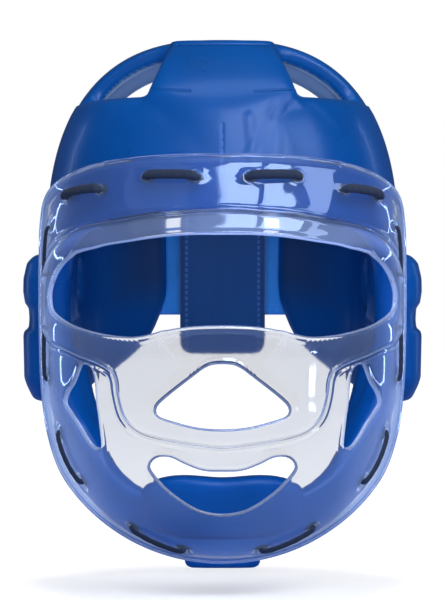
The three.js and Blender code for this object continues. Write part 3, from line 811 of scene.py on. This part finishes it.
class HEADGEAR_OT_stage(bpy.types.Operator):
    """Makes the camera, the pale floor and the soft studio lights"""
    bl_idname = "headgear.stage"
    bl_label = "Stage"

    def execute(self, context):
        stage = sizes("stage")
        chin = -seat_height()
        camera = bpy.data.cameras.new("camera")
        camera.lens = stage.lens
        camera.sensor_width = 36.0
        camera.clip_end = 20.0
        eye = placed("camera", camera, (0.0, -stage.distance, chin + stage.eye_height),
                     (math.radians(90), 0, 0))
        context.scene.camera = eye
        context.scene.view_settings.view_transform = "Standard"
        self.floor(chin - stage.floor_drop)
        self.lights(stage)
        self.world(context, stage)
        return {"FINISHED"}

    def floor(self, level):
        span = 6.0
        mesh = bpy.data.meshes.new("floor")
        corners = [(x * span, y * span, level) for x, y in ((-1, -1), (1, -1), (1, 1), (-1, 1))]
        mesh.from_pydata(corners, [], [(0, 1, 2, 3)])
        mesh.materials.append(floor_material())
        floor = placed("floor", mesh)

    def mirrored_place(self, across, up, away):
        """Where a lamp must stand for the camera to see it mirrored in the shield."""
        form = ShieldForm()
        spot = form.disc(np.array([across]), np.array([up]))[0]
        point, normal = form.place(*spot), form.normal(*spot)
        stage = sizes("stage")
        view = unit(point - (0.0, -stage.distance, stage.eye_height - seat_height()))
        return tuple(point + (view - 2 * (view @ normal) * normal) * away)

    def lights(self, stage):
        """Soft boxes: some light the foam and aren't mirrored, the others are only mirrored."""
        boxes = (
            ("key", (0.22, -1.2, 0.68), (1.2, 0.46), 6.2, False),
            ("key_right", (0.95, -0.8, 0.68), (0.6, 0.46), 3.6, False),
            ("fill", (0.0, -1.7, -0.1), (0.6, 0.3), 9.4, False),
            ("box_centre", (0.15, -1.24, 0.8), (0.3, 0.7), 10.0, True),
            ("box_right", (0.53, -1.13, 0.8), (0.33, 0.7), 11.0, True),
            ("box_far", (0.96, -0.8, 0.8), (0.5, 0.7), 8.4, True),
            ("box_left", (-0.65, -1.1, 0.8), (0.8, 0.7), 0.9, True),
            ("overhead_box", (0.1, -0.45, 1.3), (1.4, 0.5), 13.0, True),
            ("edge_left", (-1.2, 0.8, 0.0), (0.035, 1.2), 1.6, True),
            ("edge_right", (1.2, 0.8, 0.0), (0.035, 1.2), 1.6, True),
            ("window", self.mirrored_place(0.044, 0.13, 1.5), (0.11, 0.08), 0.9, True),
        )
        target = Vector((0, 0, -0.12))
        for name, place, size, power, mirrored in boxes:
            light = bpy.data.lights.new(name, "AREA")
            light.shape = "RECTANGLE"
            light.size, light.size_y = size
            light.energy = power
            light.color = stage.box_tint if mirrored else (1, 1, 1)
            aim = (target - Vector(place)).to_track_quat("-Z", "Y").to_euler()
            lamp = placed(name, light, place, aim)
            lamp.visible_camera = lamp.visible_transmission = False
            lamp.visible_glossy, lamp.visible_diffuse = mirrored, not mirrored
        sun = bpy.data.lights.new("overhead", "SUN")
        sun.energy = stage.overhead
        sun.angle = math.radians(20)
        overhead = placed("overhead", sun, turn=(math.radians(-10), 0, 0))
        overhead.visible_glossy = overhead.visible_transmission = False

    def world(self, context, stage):
        """A white backdrop that the object mirrors only dimly, in the tint of the boxes."""
        world = bpy.data.worlds.new("studio")
        world.use_nodes = True
        tree = world.node_tree
        path, seen = seen_mask(tree, stage.through)
        direction = split(tree, node(tree, "TexCoord").outputs["Generated"])
        behind = ramp(tree, direction["Y"], -0.1, 0.6, stage.mirrored, stage.backdrop)
        room = node(tree, "Mix", path["Diffuse Depth"], None, behind, stage.surround,
                    data_type="FLOAT").outputs[0]
        mirrored = calc(tree, "GREATER_THAN", path["Glossy Depth"], 0.5)
        feed(tree, tree.nodes["Background"], {
            "Strength": calc(tree, "MAXIMUM", seen, room),
            "Color": blend(tree, mirrored, (1, 1, 1, 1), opaque(stage.box_tint))})
        context.scene.world = world


def shell_field(x, y, z, curves, wall_only=False):
    """The dipped shell: a foam wall on the head form, cut by its openings."""
    shell = sizes("shell")
    h = z + seat_height()
    base = dome_base()
    outside = head_distance(x, y, h, curves)
    solid = np.abs(outside + shell.foam / 2) - shell.foam / 2
    if wall_only:
        return solid
    brow = shell.height - shell.brow_drop
    front_vent = smooth_max(brow - h, -tab_distance(x, h), 0.004)
    front_vent = smooth_max(front_vent, y + shell.arch_front, 0.01)
    rear_top = shell.height - shell.rear_drop
    rear_vent = smooth_max(rear_top - h, shell.spine - np.abs(x), 0.012)
    rear_vent = smooth_max(rear_vent, shell.arch_back - y, 0.012)
    face = [(math.atan2(across * shell.half_width, forward * shell.front + FACE_EYE) * FACE_AROUND,
             up * shell.height) for across, forward, up in FACE_OPENING]
    turn = np.arctan2(x, FACE_EYE - y)
    opening = outline_distance(turn * FACE_AROUND, h, closed_curve(both_halves(face), 3))
    opening = np.where(y > FACE_EYE, np.maximum(opening, 0.02), opening)
    depths, lifts = (np.array(column) * full
                     for column, full in zip(zip(*LOWER_EDGE), (shell.front, base)))
    fine = np.linspace(depths[0], depths[-1], 200)
    smooth = evened(np.interp(fine, depths, lifts), 25)
    slope = np.interp(y, fine, np.gradient(smooth, fine))
    under = (np.interp(y, fine, smooth) - h) / np.sqrt(1 + slope * slope)
    band = rear_top - shell.rear_width
    gap = closed_curve(both_halves([(across * shell.gap, up * band) for across, up in BACK_GAP]), 3)
    behind = np.where(y < 0.02, 0.05, outline_distance(x, h, gap))
    ear = ear_distance(y, h, shell.ear_hole)
    for cut in (-front_vent, -rear_vent, -opening, under, -behind):
        solid = smooth_max(solid, cut, shell.edge_round)
    solid = smooth_max(solid, -ear, 0.004)
    ridge = np.hypot(ear - 0.005, outside + shell.foam) - shell.ear_ridge
    solid = smooth_min(solid, ridge, 0.003)
    full = smooth_step(shell.cheek - 0.05, shell.cheek, h) * smooth_step(
        shell.cheek + 0.042, shell.cheek + 0.02, h)
    cheek = np.abs(outside + shell.foam - 0.002) - 0.001 - shell.cheek_thick * full
    for limit, blend_size in ((-opening, 0.008), (opening - 0.022, 0.012),
                              (np.abs(h - shell.cheek) - 0.05, 0.01)):
        cheek = smooth_max(cheek, limit, blend_size)
    solid = smooth_min(solid, cheek, 0.004)
    block = smooth_max(np.abs(x) - shell.chin_block, np.abs(h - 0.006) - 0.0075, 0.005)
    block = smooth_max(block, np.abs(outside + 0.005) - 0.0062, 0.004)
    return smooth_min(solid, np.where(y < 0, block, 0.02), 0.002)


def raise_details(points, normals, curves):
    """The proud front tab with its rolled top edge, and the band's step."""
    shell = sizes("shell")
    x, y, z = points.T
    h = z + seat_height()
    outer = smooth_step(-0.003, -0.0005, head_distance(x, y, h, curves)) * (y < 0)
    foot = shell.height - shell.brow_drop
    line = shell.height - shell.tab_line
    within = smooth_step(0.0012, -0.0012, tab_distance(x, h))
    fade = foot - 0.008 - 0.03 * smooth_step(shell.tab_foot, 0.0, np.abs(x))
    low = smooth_step(0.0, 1.0, (h - fade) / (foot + 0.003 - fade))
    roll = hump(h - line + 0.0016, 0.0012) - 0.8 * hump(h - line - 0.0006, 0.0008)
    under_line = within * smooth_step(line + 0.0008, line - 0.0008, h)
    step = (smooth_step(foot - 0.0005, foot + 0.001, h) * (1 - under_line)
            * smooth_step(0.0, -0.02, y))
    lift = (under_line * low * shell.tab_raise + roll * within * shell.tab_roll
            - step * shell.band_step)
    return points + normals * (lift * outer)[:, None]


def normals_of(points, quads):
    corners = points[quads]
    cross = np.cross(corners[:, 2] - corners[:, 0], corners[:, 3] - corners[:, 1])
    normals = np.zeros_like(points)
    for corner in range(4):
        np.add.at(normals, quads[:, corner], cross)
    return normals / np.maximum(np.linalg.norm(normals, axis=1), 1e-12)[:, None]


class HEADGEAR_OT_shell(bpy.types.Operator):
    """Makes the dipped foam shell with its face opening, crown vents and back gap"""
    bl_idname = "headgear.shell"
    bl_label = "Foam shell"

    def execute(self, context):
        shell = sizes("shell")
        curves = section_curves()
        margin = 2 * shell.voxel
        low = (-shell.half_width - margin, -shell.front - margin, -seat_height() - margin)
        high = (shell.half_width + margin, shell.back + margin, shell.foam + margin)
        points, quads = skin_of(
            lambda x, y, z: shell_field(x, y, z, curves), low, high, shell.voxel,
            rough=lambda x, y, z: shell_field(x, y, z, curves, wall_only=True))
        points = raise_details(points, normals_of(points, quads), curves)
        x, y, z = points.T
        h = z + seat_height()
        inner = smooth_step(-shell.foam * 0.85, -shell.foam * 0.98, head_distance(x, y, h, curves))
        brow = shell.height - shell.brow_drop
        # Painted light: the inside's lower part and its front are painted lighter.
        low = inner * np.maximum(smooth_step(shell.height * 0.56, shell.height * 0.44, h),
                                 smooth_step(shell.back * 0.86, shell.back * 0.6, y))
        piece = mesh_piece("foam_shell_skin", points, quads, [foam_skin()],
                           node="foam_shell")
        # The inside's share, which carries its painted shade and raises its coat.
        add_layer(piece, "inside_painted_shading", inner)
        # Painted highlight under the crown arch.
        add_layer(piece, "crown", inner * smooth_step(brow - 0.03, brow - 0.005, h))
        add_layer(piece, "low", low)
        return {"FINISHED"}


def ear_field(x, y, z, side, curves):
    """A two-lobed pad over the ear, on the outside of the shell."""
    shell, ear = sizes("shell"), sizes("ears")
    base = dome_base()
    h = z + seat_height()
    foot = base - ear.drop
    up = np.clip((h - foot) / ear.height, 0, 1)
    heights, depths, outs = zip(*EAR_SECTIONS)
    fine = np.linspace(0, 1, 260)

    def column(values):
        return np.interp(up, fine, evened(np.interp(fine, heights, values), 9))

    reach = shell.foam / 2 + ear.proud * column(outs)
    half = ear.half_depth * column(depths)
    root = shell.half_width - shell.foam / 2
    power = ear.squareness
    across = (side * x - root) / reach
    along = (y - ear.place) / half
    form = (np.abs(across) ** power + np.abs(along) ** power) ** (1 / power) - 1
    pad = form * np.minimum(reach, half)
    for cut in (foot - h, h - foot - ear.height, -ear_distance(y, h, ear.hole)):
        pad = smooth_max(pad, cut, ear.edge_round)
    return smooth_max(pad, 0.0003 - head_distance(x, y, h, curves), 0.002)


class HEADGEAR_OT_ears(bpy.types.Operator):
    """Makes the two dipped ear guards"""
    bl_idname = "headgear.ears"
    bl_label = "Ear guards"

    def execute(self, context):
        ear = sizes("ears")
        curves = section_curves()
        for word, side in SIDES:
            low, high = (np.array(corner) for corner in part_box("ear_guard_" + word))
            margin = 3 * ear.voxel
            points, quads = skin_of(lambda x, y, z: ear_field(x, y, z, side, curves),
                                    low - margin, high + margin, ear.voxel)
            piece = mesh_piece(f"ear_guard_{word}_skin", points, quads, [foam_skin()],
                               node="ear_guard_" + word)
        return {"FINISHED"}


class ShieldForm:
    """The shield's bowl: a rim on the foam, and a swelling profile to its middle."""

    def __init__(self):
        shell, shield = sizes("shell"), sizes("shield")
        self.middle, self.front = shield.middle, shield.front
        curves = section_curves()
        offset = shield.clearance + shield.wall
        rows = []
        for across, up in SHIELD_RIM:
            h = up * shell.height
            half, front, _ = head_section(h, curves, offset)
            rows.append((across * half, -front * depth_share(across), h))
        rim = closed_curve(both_halves(rows), 24)
        turns = np.arctan2(rim[:, 0], rim[:, 2] - self.middle)
        order = np.argsort(turns)
        turns, rim = turns[order], rim[order]
        self.turns = np.concatenate([turns - 2 * math.pi, turns, turns + 2 * math.pi])
        self.rim = np.vstack([rim, rim, rim])
        self.bulges = (shield.side_bulge, shield.top_bulge)

    def from_rim(self, points):
        """Distance of points from the rim."""
        third = len(self.rim) // 3
        rim = self.rim[:third] - (0, 0, seat_height())
        return np.concatenate([
            np.linalg.norm(part[:, None] - rim[None], axis=2).min(1)
            for part in np.array_split(points, 1 + len(points) // 2000)])

    def rim_at(self, turn):
        return [np.interp(turn, self.turns, self.rim[:, axis]) for axis in range(3)]

    def at(self, turn, reach):
        x, y, h = self.rim_at(turn)
        top = np.clip((np.cos(turn) - 0.68) / 0.27, 0, 1)
        bulge = self.bulges[0] + (self.bulges[1] - self.bulges[0]) * top
        swell = (1 - np.minimum(reach, 1) ** 2) ** bulge
        return np.stack([x * reach, y + (-self.front - y) * swell,
                         self.middle + (h - self.middle) * reach - seat_height()], -1)

    def place(self, u, v):
        """Points for places on the flat disc, whose rim is at distance one."""
        size = np.clip(np.hypot(u, v), 1e-6, 1)
        return self.at(np.arctan2(u, v), np.sin(size * math.pi / 2))

    def normal(self, u, v):
        step = DISC_STEP
        size = np.maximum(np.hypot(u, v), 1e-6)
        inward = np.minimum(1.0, (1 - step) / size)
        u, v = u * inward, v * inward
        one = self.place(u + step, v) - self.place(u - step, v)
        two = self.place(u, v + step) - self.place(u, v - step)
        return unit(np.cross(one, two))

    def disc(self, x, h):
        """Places on the disc of front-view points."""
        turn = np.arctan2(x, h - self.middle)
        rim_x, _, rim_h = self.rim_at(turn)
        reach = np.hypot(x, h - self.middle) / np.hypot(rim_x, rim_h - self.middle)
        size = np.arcsin(np.clip(reach, 0, 0.9999)) * 2 / math.pi
        return np.stack([size * np.sin(turn), size * np.cos(turn)], -1)


def moved_outline(outline, by):
    """The outline moved outwards by a distance, its points kept in step."""
    ahead, behind = np.roll(outline, -1, 0), np.roll(outline, 1, 0)
    along = unit(ahead - behind)
    area = np.sum(outline[:, 0] * ahead[:, 1] - ahead[:, 0] * outline[:, 1])
    side = np.stack([along[:, 1], -along[:, 0]], 1) * (1 if area > 0 else -1)
    return outline + side * by


def even_points(outline, spacing):
    closed = np.vstack([outline, outline[:1]])
    steps = np.linalg.norm(np.diff(closed, axis=0), axis=1)
    run = np.concatenate([[0], np.cumsum(steps)])
    count = max(8, int(round(run[-1] / spacing)))
    marks = np.linspace(0, run[-1], count, endpoint=False)
    return np.stack([np.interp(marks, run, closed[:, axis]) for axis in (0, 1)], 1)


def front_outline(rows, side=1):
    shell = sizes("shell")
    points = np.array(rows) * (side * shell.half_width, shell.height)
    return closed_curve(both_halves(points) if rows[0][0] == 0 else points, 8)


def on_disc(turn, reach):
    """Place on the flat disc for a turn from the top and a reach towards the rim."""
    size = math.asin(reach) * 2 / math.pi
    return np.array([size * math.sin(turn), size * math.cos(turn)])


class HEADGEAR_OT_shield(bpy.types.Operator):
    """Makes the clear face shield with its raised goggle area and lipped holes"""
    bl_idname = "headgear.shield"
    bl_label = "Face shield"

    def execute(self, context):
        shield, hole_radius = sizes("shield"), sizes("soft").lace_hole
        form = ShieldForm()
        holes = [front_outline(rows) for rows in (EYE_WINDOW, NOSE_HOLE, MOUTH_SLOT)]
        holes += [front_outline(CHEEK_HOLE, side) for side in (1, -1)]
        goggle = front_outline(GOGGLE)
        points, edges, cut_rings = [], [], []

        def add_ring(places, constrain):
            start = sum(len(part) for part in points)
            points.append(places)
            if constrain:
                count = len(places)
                edges.extend((start + i, start + (i + 1) % count) for i in range(count))
            return start

        for hole in holes:
            even = even_points(hole, shield.spacing * 0.7)
            for by in (0.0, 0.0009, 0.002, 0.0036):
                add_ring(form.disc(*moved_outline(even, by).T), by == 0.0)
            cut_rings.append(form.disc(*even.T))
        even = even_points(goggle, shield.spacing * 0.6)
        for by in GOGGLE_RINGS:
            ring = moved_outline(even, by)
            kept = np.abs(outline_distance(*ring.T, goggle) - by) < 0.12 * abs(by) + 0.0001
            start = add_ring(form.disc(*ring[kept].T), False)
            index = np.flatnonzero(kept)
            ahead = np.roll(index, -1)
            edges.extend((start + i, start + (i + 1) % len(index))
                         for i in np.flatnonzero((ahead - index) % len(kept) == 1).tolist())
        lace_places = np.array([on_disc(side * math.radians(turn), reach) for _, side in SIDES
                                for _, *pairs in LACES for turn, reach in zip(*pairs)])
        for place in lace_places:
            for ring, widen in zip(self.hole_rings(form, place, hole_radius), (False, True, True)):
                add_ring(ring, not widen)
                if not widen:
                    cut_rings.append(ring)
        turns = np.linspace(-math.pi, math.pi, 320, endpoint=False)
        spokes = np.stack([np.sin(turns), np.cos(turns)], 1)
        inwards = np.linspace(1, 0.8, 120)
        lines = form.place(*(spokes[:, None] * inwards[None, :, None]).reshape(-1, 2).T)
        lines = lines.reshape(len(turns), len(inwards), 3)
        runs = np.cumsum(np.linalg.norm(np.diff(lines, axis=1), axis=2), axis=1)
        for away in RIM_RINGS:
            scale = np.array([np.interp(away, np.concatenate([[0], run]), inwards) for run in runs])
            add_ring(spokes * scale[:, None], True)

        pitch = 0.019
        rows = np.arange(-1, 1, pitch * 0.866)
        hexes = np.array([(x + (i % 2) * pitch / 2, y) for i, y in enumerate(rows)
                          for x in np.arange(-1, 1, pitch)])
        hexes = hexes[np.hypot(*hexes.T) < 0.99]
        hexes = hexes[form.from_rim(form.place(*hexes.T)) > 0.0068]
        front = form.place(*hexes.T)
        x, h = front[:, 0], front[:, 2] + seat_height()
        apart = outline_distance(x, h, goggle)
        keep = (apart < -0.0055) | (apart > 0.007)
        for hole in holes:
            keep &= outline_distance(x, h, hole) > 0.0052
        centres = form.place(*lace_places.T)
        for centre in centres:
            keep &= np.linalg.norm(front - centre, axis=1) > hole_radius + 0.0036
        points.append(hexes[keep])
        found = delaunay_2d_cdt([Vector(p) for p in np.vstack(points)], edges, [], 0, 1e-7)
        disc = np.array([tuple(p) for p in found[0]])
        faces = np.array([face for face in found[2] if len(face) == 3])
        middles = disc[faces].mean(1)
        keep = np.hypot(*middles.T) < 1.0
        for ring in cut_rings:
            keep &= outline_distance(*middles.T, ring) > 0
        self.build(form, disc, faces[keep], holes, goggle, centres)
        return {"FINISHED"}

    def hole_rings(self, form, place, radius):
        """Rings on the disc that are round on the shield, at a lace hole and outside it."""
        u, v = place
        du = (form.place(u + DISC_STEP, v) - form.place(u - DISC_STEP, v)) / (2 * DISC_STEP)
        dv = (form.place(u, v + DISC_STEP) - form.place(u, v - DISC_STEP)) / (2 * DISC_STEP)
        one = unit(du)
        two = unit(dv - one * (dv @ one))
        matrix = np.linalg.inv(np.array([[du @ one, dv @ one], [du @ two, dv @ two]]))
        turns = round_turns(16)
        circle = np.stack([np.cos(turns), np.sin(turns)], 1)
        return [circle * (radius + wider) @ matrix.T + place for wider in (0.0, 0.0009, 0.0024)]

    def build(self, form, disc, faces, holes, goggle, centres):
        """The sheet's two faces and its rounded edges."""
        shield, hole_radius = sizes("shield"), sizes("soft").lace_hole
        used = np.unique(faces)
        number_of = np.full(len(disc), -1)
        number_of[used] = np.arange(len(used))
        disc, faces = disc[used], number_of[faces]
        base, normal = form.place(*disc.T), form.normal(*disc.T)
        x, h = base[:, 0], base[:, 2] + seat_height()
        apart = outline_distance(x, h, goggle)
        lift = shield.step * smooth_step(0.0017, -0.0017, apart)
        lift += 0.0004 * hump(apart - 0.0034, 0.0006)
        for hole in holes:
            lift += shield.lip * hump(outline_distance(x, h, hole), 0.002)
        for centre in centres:
            away = np.linalg.norm(base - centre, axis=1) - hole_radius
            lift += 0.0005 * hump(away, 0.0012)
        lift += shield.bead * hump(form.from_rim(base) - 0.0014, 0.0016)
        outer = base + normal * lift[:, None]
        inner = outer - normal * shield.wall
        one, two, three = outer[faces].transpose(1, 0, 2)
        cross = np.cross(two - one, three - one)
        flip = (cross * normal[faces[:, 0]]).sum(1) < 0
        faces[flip] = faces[flip][:, ::-1]
        sides = dict.fromkeys((one, two) for a, b, c in faces.tolist()
                              for one, two in ((a, b), (b, c), (c, a)))
        rim = [(one, two) for one, two in sides if (two, one) not in sides]
        after = dict(rim)
        before = {two: one for one, two in rim}
        ends = np.array(sorted(after))
        along = unit(outer[[after[i] for i in ends]] - outer[[before[i] for i in ends]])
        away = np.cross(along, normal[ends])
        rows = [outer[ends] - normal[ends] * shield.wall * share
                + away * shield.wall * EDGE_BULGE * math.sin(share * math.pi)
                for share in (0.2, 0.5, 0.8)]
        count, row_of = len(outer), {int(i): k for k, i in enumerate(ends)}

        def levels(i):
            """Point numbers across the edge at a rim point, from the outer face to the inner."""
            between = [2 * count + level * len(ends) + row_of[i] for level in range(len(rows))]
            return [i, *between, count + i]

        quads = [(top_two, top_one, low_one, low_two) for one, two in rim
                 for top_one, low_one, top_two, low_two in
                 zip(levels(one), levels(one)[1:], levels(two), levels(two)[1:])]
        large = [np.linalg.norm(centres - outer[one], axis=1).min() > hole_radius * 2
                 for one, _ in rim]
        edge = np.concatenate([np.zeros(2 * len(faces), bool), np.repeat(large, len(rows) + 1)])
        points = np.vstack([outer, inner, *rows])
        colours = sizes("colours")
        piece = mesh_piece(
            "face_shield_clear", points,
            [*faces.tolist(), *(faces[:, ::-1] + count).tolist(), *quads],
            [clear_sheet("clear_sheet", colours.shield, 0.995),
             clear_sheet("clear_edge", colours.edge, 0.75)],
            edge, node="face_shield")
        add_layer(piece, "painted_glow_share", self.painted_glow_share(points, goggle))

    def painted_glow_share(self, points, goggle):
        """How strongly each place of the sheet shows the painted blue glow."""
        shell = sizes("shell")
        h = points[:, 2] + seat_height()
        across, up = points[:, 0] / shell.half_width, h / shell.height
        wide = np.abs(across)
        brow = smooth_step(0.0, -0.002, outline_distance(points[:, 0], h, goggle))
        brow *= smooth_step(0.57, 0.6, up)
        brow *= 0.4 + 0.6 * smooth_step(-0.4, 0.05, across) - 0.3 * smooth_step(0.5, 0.9, across)
        side = smooth_step(0.8, 1.0, wide) * smooth_step(0.2, 0.4, up)
        cheek = smooth_step(0.55, 0.8, wide) * smooth_step(0.36, 0.28, up)
        patch = hump(across + 0.16, 0.25) * hump(up - 0.075, 0.04)
        # Most painted glow at the brow, the sides and the cheeks, less on a patch low down left of
        # the middle.
        return np.clip(0.15 + brow + 0.45 * side + 0.3 * cheek - 0.15 * patch, 0, 1)


class HEADGEAR_OT_laces(bpy.types.Operator):
    """Makes the cord stretches that tie the shield to the foam"""
    bl_idname = "headgear.laces"
    bl_label = "Laces"

    def execute(self, context):
        form = ShieldForm()
        cord = cloth_material("lace_cord", sizes("colours").lace, 520.0, 0.9, 0.05)
        for word, side in SIDES:
            for name, turns, reaches in LACES:
                turns = [side * math.radians(turn) for turn in turns]
                self.stretch(form, name, word, turns, reaches, cord)
        return {"FINISHED"}

    def stretch(self, form, name, word, turns, reaches, cord):
        """One cord from hole to hole, and a dark disc of painted shade in the foam behind each
        hole.
        """
        shield, radius = sizes("shield"), sizes("soft").lace / 2
        shares = (0, 0, 0, 0.05, 0.16, 0.38, 0.62, 0.84, 0.95, 1, 1, 1)
        thick, wide = (0.9, 1.25) if name.startswith("top") else (0.4, 0.75)
        high = radius * thick + 0.0005
        lifts = (-shield.wall, -shield.wall * 0.4, 0.0004, high * 0.8, high, high * 1.08)
        knots = []
        for share, lift in zip(shares, lifts + lifts[::-1]):
            turn, reach = (start * (1 - share) + end * share for start, end in (turns, reaches))
            place = on_disc(turn, reach)
            knots.append(form.place(*place) + form.normal(*place) * lift)
        padded = np.vstack([2 * knots[0] - knots[1], knots, 2 * knots[-1] - knots[-2]])
        path = closed_curve(padded, 5)[5:5 * (len(padded) - 2) + 1]
        along = unit(np.gradient(path, axis=0))
        outward = path - (0.0, 0.0, shield.middle - seat_height())
        out = unit(-np.cross(along, np.cross(along, outward)))
        across = np.cross(along, out)
        sides = 16
        around = round_turns(sides)[None, :, None]
        twist = 1 + 0.05 * np.cos(2 * around + np.arange(len(path))[:, None, None] * 1.3)
        rings = path[:, None, :] + radius * twist * (
            np.cos(around) * across[:, None, :] * wide + np.sin(around) * out[:, None, :] * thick)
        points = rings.reshape(-1, 3)
        faces = [(row * sides + i, row * sides + (i + 1) % sides,
                  (row + 1) * sides + (i + 1) % sides, (row + 1) * sides + i)
                 for row in range(len(path) - 1) for i in range(sides)]
        faces.append(tuple(reversed(range(sides))))
        faces.append(tuple((len(path) - 1) * sides + i for i in range(sides)))
        # A disc of painted shade behind each hole.
        for turn, reach in zip(turns, reaches):
            ring = self.hole_shade_disc(form, turn, reach)
            faces.append(tuple(range(len(points), len(points) + len(ring))))
            points = np.vstack([points, ring])
        name = f"lace_{name}_{word}"
        mesh_piece(name + "_cord", points, faces, [cord], node=name)

    def hole_shade_disc(self, form, turn, reach):
        """Ring of the dark disc of painted shade in the foam behind a hole of the shield."""
        shield, hole_radius = sizes("shield"), sizes("soft").lace_hole
        place = on_disc(turn, reach)
        centre, normal = form.place(*place), form.normal(*place)
        beside = place + (0.01 * math.cos(turn), -0.01 * math.sin(turn))
        along = unit(form.place(*beside) - centre)
        turns = round_turns(20)[:, None]
        middle = centre - normal * (shield.wall + shield.clearance * 0.5)
        return middle + hole_radius * (1.35 * np.cos(turns) * along
                                       + np.sin(turns) * np.cross(normal, along))


class HEADGEAR_OT_padding(bpy.types.Operator):
    """Makes the chin pad, the back flap and the ribbed elastic band"""
    bl_idname = "headgear.padding"
    bl_label = "Padding and elastic"

    def execute(self, context):
        self.chin_pad(sizes("soft"))
        self.flap(sizes("soft"))
        self.elastic(sizes("soft"))
        return {"FINISHED"}

    def chin_pad(self, soft):
        curves = section_curves()
        low, high = soft.pad_foot, PAD_HIGH[2] + seat_height()
        deep = sizes("shell").foam + 0.0104
        middle, thick = (soft.pad_lap - deep) / 2, (soft.pad_lap + deep) / 2
        centre, tall = (low + high) / 2, (high - low) / 2

        def field(x, y, z):
            h = z + seat_height()
            wall = np.abs(head_distance(x, y, h, curves) - middle) - thick
            dip = 0.0024 * hump(x, 0.018)
            across, up = np.abs(x) / PAD_HIGH[0], np.abs(h - centre + dip * (h > centre)) / tall
            oval = (across ** 3 + up ** 3) ** (1 / 3)
            slab = smooth_max(wall, (oval - 1) * tall, 0.008)
            return np.where(y > 0, np.maximum(slab, 0.01), slab)

        margin = np.array([0.008, 0.028, 0.008])
        points, quads = skin_of(field, np.array(PAD_LOW) - margin, np.array(PAD_HIGH) + 0.008,
                                0.0016)
        piece = mesh_piece("chin_pad_skin", points, quads, [foam_skin()], node="chin_pad")

    def flap(self, soft):
        low, high = np.array(FLAP_LOW), np.array(FLAP_HIGH)
        half = (high[0] - low[0]) / 2
        corner, thick, top = soft.flap_corner, 0.007, high[2]

        def field(x, y, z):
            back = high[1] + (low[1] + thick - high[1]) * smooth_step(top - 0.03, top, z)
            slab = np.abs(y - back + thick / 2) - thick / 2
            side, foot = np.abs(x) - half, low[2] - z
            box = np.hypot(np.maximum(side + corner, 0), np.maximum(foot + corner, 0)) - corner
            box = np.where((side + corner < 0) | (foot + corner < 0), np.maximum(side, foot), box)
            box = smooth_max(box, z - top, 0.004)
            groove = 0.0007 * hump(side + 0.006, 0.0009) * (y < back - thick / 2)
            return smooth_max(slab + groove, box, 0.006)

        points, quads = skin_of(field, low - 0.003, high + 0.003, 0.0015)
        padding = cloth_material("flap_cloth", sizes("colours").padding, 420.0, 0.5, 0.2,
                                 seam=half - 0.0042)
        piece = mesh_piece("back_flap_cloth", points, quads, [padding], node="back_flap")

    def elastic(self, soft):
        low, high = ELASTIC_LOW, ELASTIC_HIGH
        reach, thin = high[0], 0.0022
        columns, rows = soft.ribs * 6, 12
        xs = np.linspace(-reach, reach, columns + 1)
        zs = np.linspace(low[2], high[2], rows + 1)
        grid_x, grid_z = np.meshgrid(xs, zs, indexing="ij")
        half, _, back = head_section(grid_z + seat_height(), section_curves(), 0.0004)
        y = back * depth_share(grid_x / half)
        rib = 0.00035 * np.cos(grid_x / reach * soft.ribs * math.pi)
        inner = np.stack([grid_x, y, grid_z], -1).reshape(-1, 3)
        outer = inner + np.array([0.0, 1.0, 0.0]) * (thin + rib).reshape(-1, 1)
        number_at = np.arange(len(inner)).reshape(columns + 1, rows + 1)
        corners = (number_at[:-1, :-1], number_at[1:, :-1], number_at[1:, 1:], number_at[:-1, 1:])
        inside = np.stack(corners, -1).reshape(-1, 4)
        loop = np.concatenate([number_at[:-1, 0], number_at[-1, :-1], number_at[:0:-1, -1],
                               number_at[0, :0:-1]])
        ahead = np.roll(loop, -1)
        count = len(inner)
        walls = np.stack([ahead, loop, loop + count, ahead + count], 1)
        outside = inside[:, [0, 3, 2, 1]] + count
        faces = np.vstack([np.hstack([outside, inside]).reshape(-1, 4), walls])
        # The band's colour is partly its own and partly painted light from behind.
        band = cloth_material("elastic_weave", sizes("colours").elastic, 300.0, 0.5, 0.3)
        piece = mesh_piece("elastic_band_ribbed", np.vstack([inner, outer]), faces, [band],
                           node="elastic_band")
        run = np.hypot(np.diff(xs), np.diff(y.reshape(columns + 1, -1)[:, rows // 2])).sum()


PROPERTY_GROUPS = (
    ("shell", HeadgearShellSizes), ("ears", HeadgearEarSizes), ("shield", HeadgearShieldSizes),
    ("soft", HeadgearSoftSizes), ("colours", HeadgearColours), ("stage", HeadgearStageSizes),
)
OPERATORS = (
    HEADGEAR_OT_stage, HEADGEAR_OT_shell, HEADGEAR_OT_ears, HEADGEAR_OT_padding,
    HEADGEAR_OT_shield, HEADGEAR_OT_laces,
)


class HEADGEAR_PT_panel(bpy.types.Panel):
    """Lists the pieces of the headgear"""
    bl_idname = "HEADGEAR_PT_panel"
    bl_label = "Headgear"
    bl_space_type = "VIEW_3D"
    bl_region_type = "UI"
    bl_category = "Headgear"

    def draw(self, context):
        for operator in OPERATORS:
            self.layout.operator(operator.bl_idname)
        for name, kind in PROPERTY_GROUPS:
            box = self.layout.box()
            box.label(text=name.capitalize())
            values = getattr(context.scene, "headgear_" + name)
            for key in kind.__annotations__:
                box.prop(values, key)


def register():
    for name, kind in PROPERTY_GROUPS:
        bpy.utils.register_class(kind)
        setattr(bpy.types.Scene, "headgear_" + name, PointerProperty(type=kind))
    for kind in (*OPERATORS, HEADGEAR_PT_panel):
        bpy.utils.register_class(kind)


def unregister():
    for kind in (HEADGEAR_PT_panel, *reversed(OPERATORS)):
        bpy.utils.unregister_class(kind)
    for name, kind in reversed(PROPERTY_GROUPS):
        delattr(bpy.types.Scene, "headgear_" + name)
        bpy.utils.unregister_class(kind)


def main():
    register()
    bpy.ops.headgear.stage()
    bpy.ops.headgear.shell()
    bpy.ops.headgear.ears()
    bpy.ops.headgear.padding()
    bpy.ops.headgear.shield()
    bpy.ops.headgear.laces()


if __name__ == "__main__":
    main()
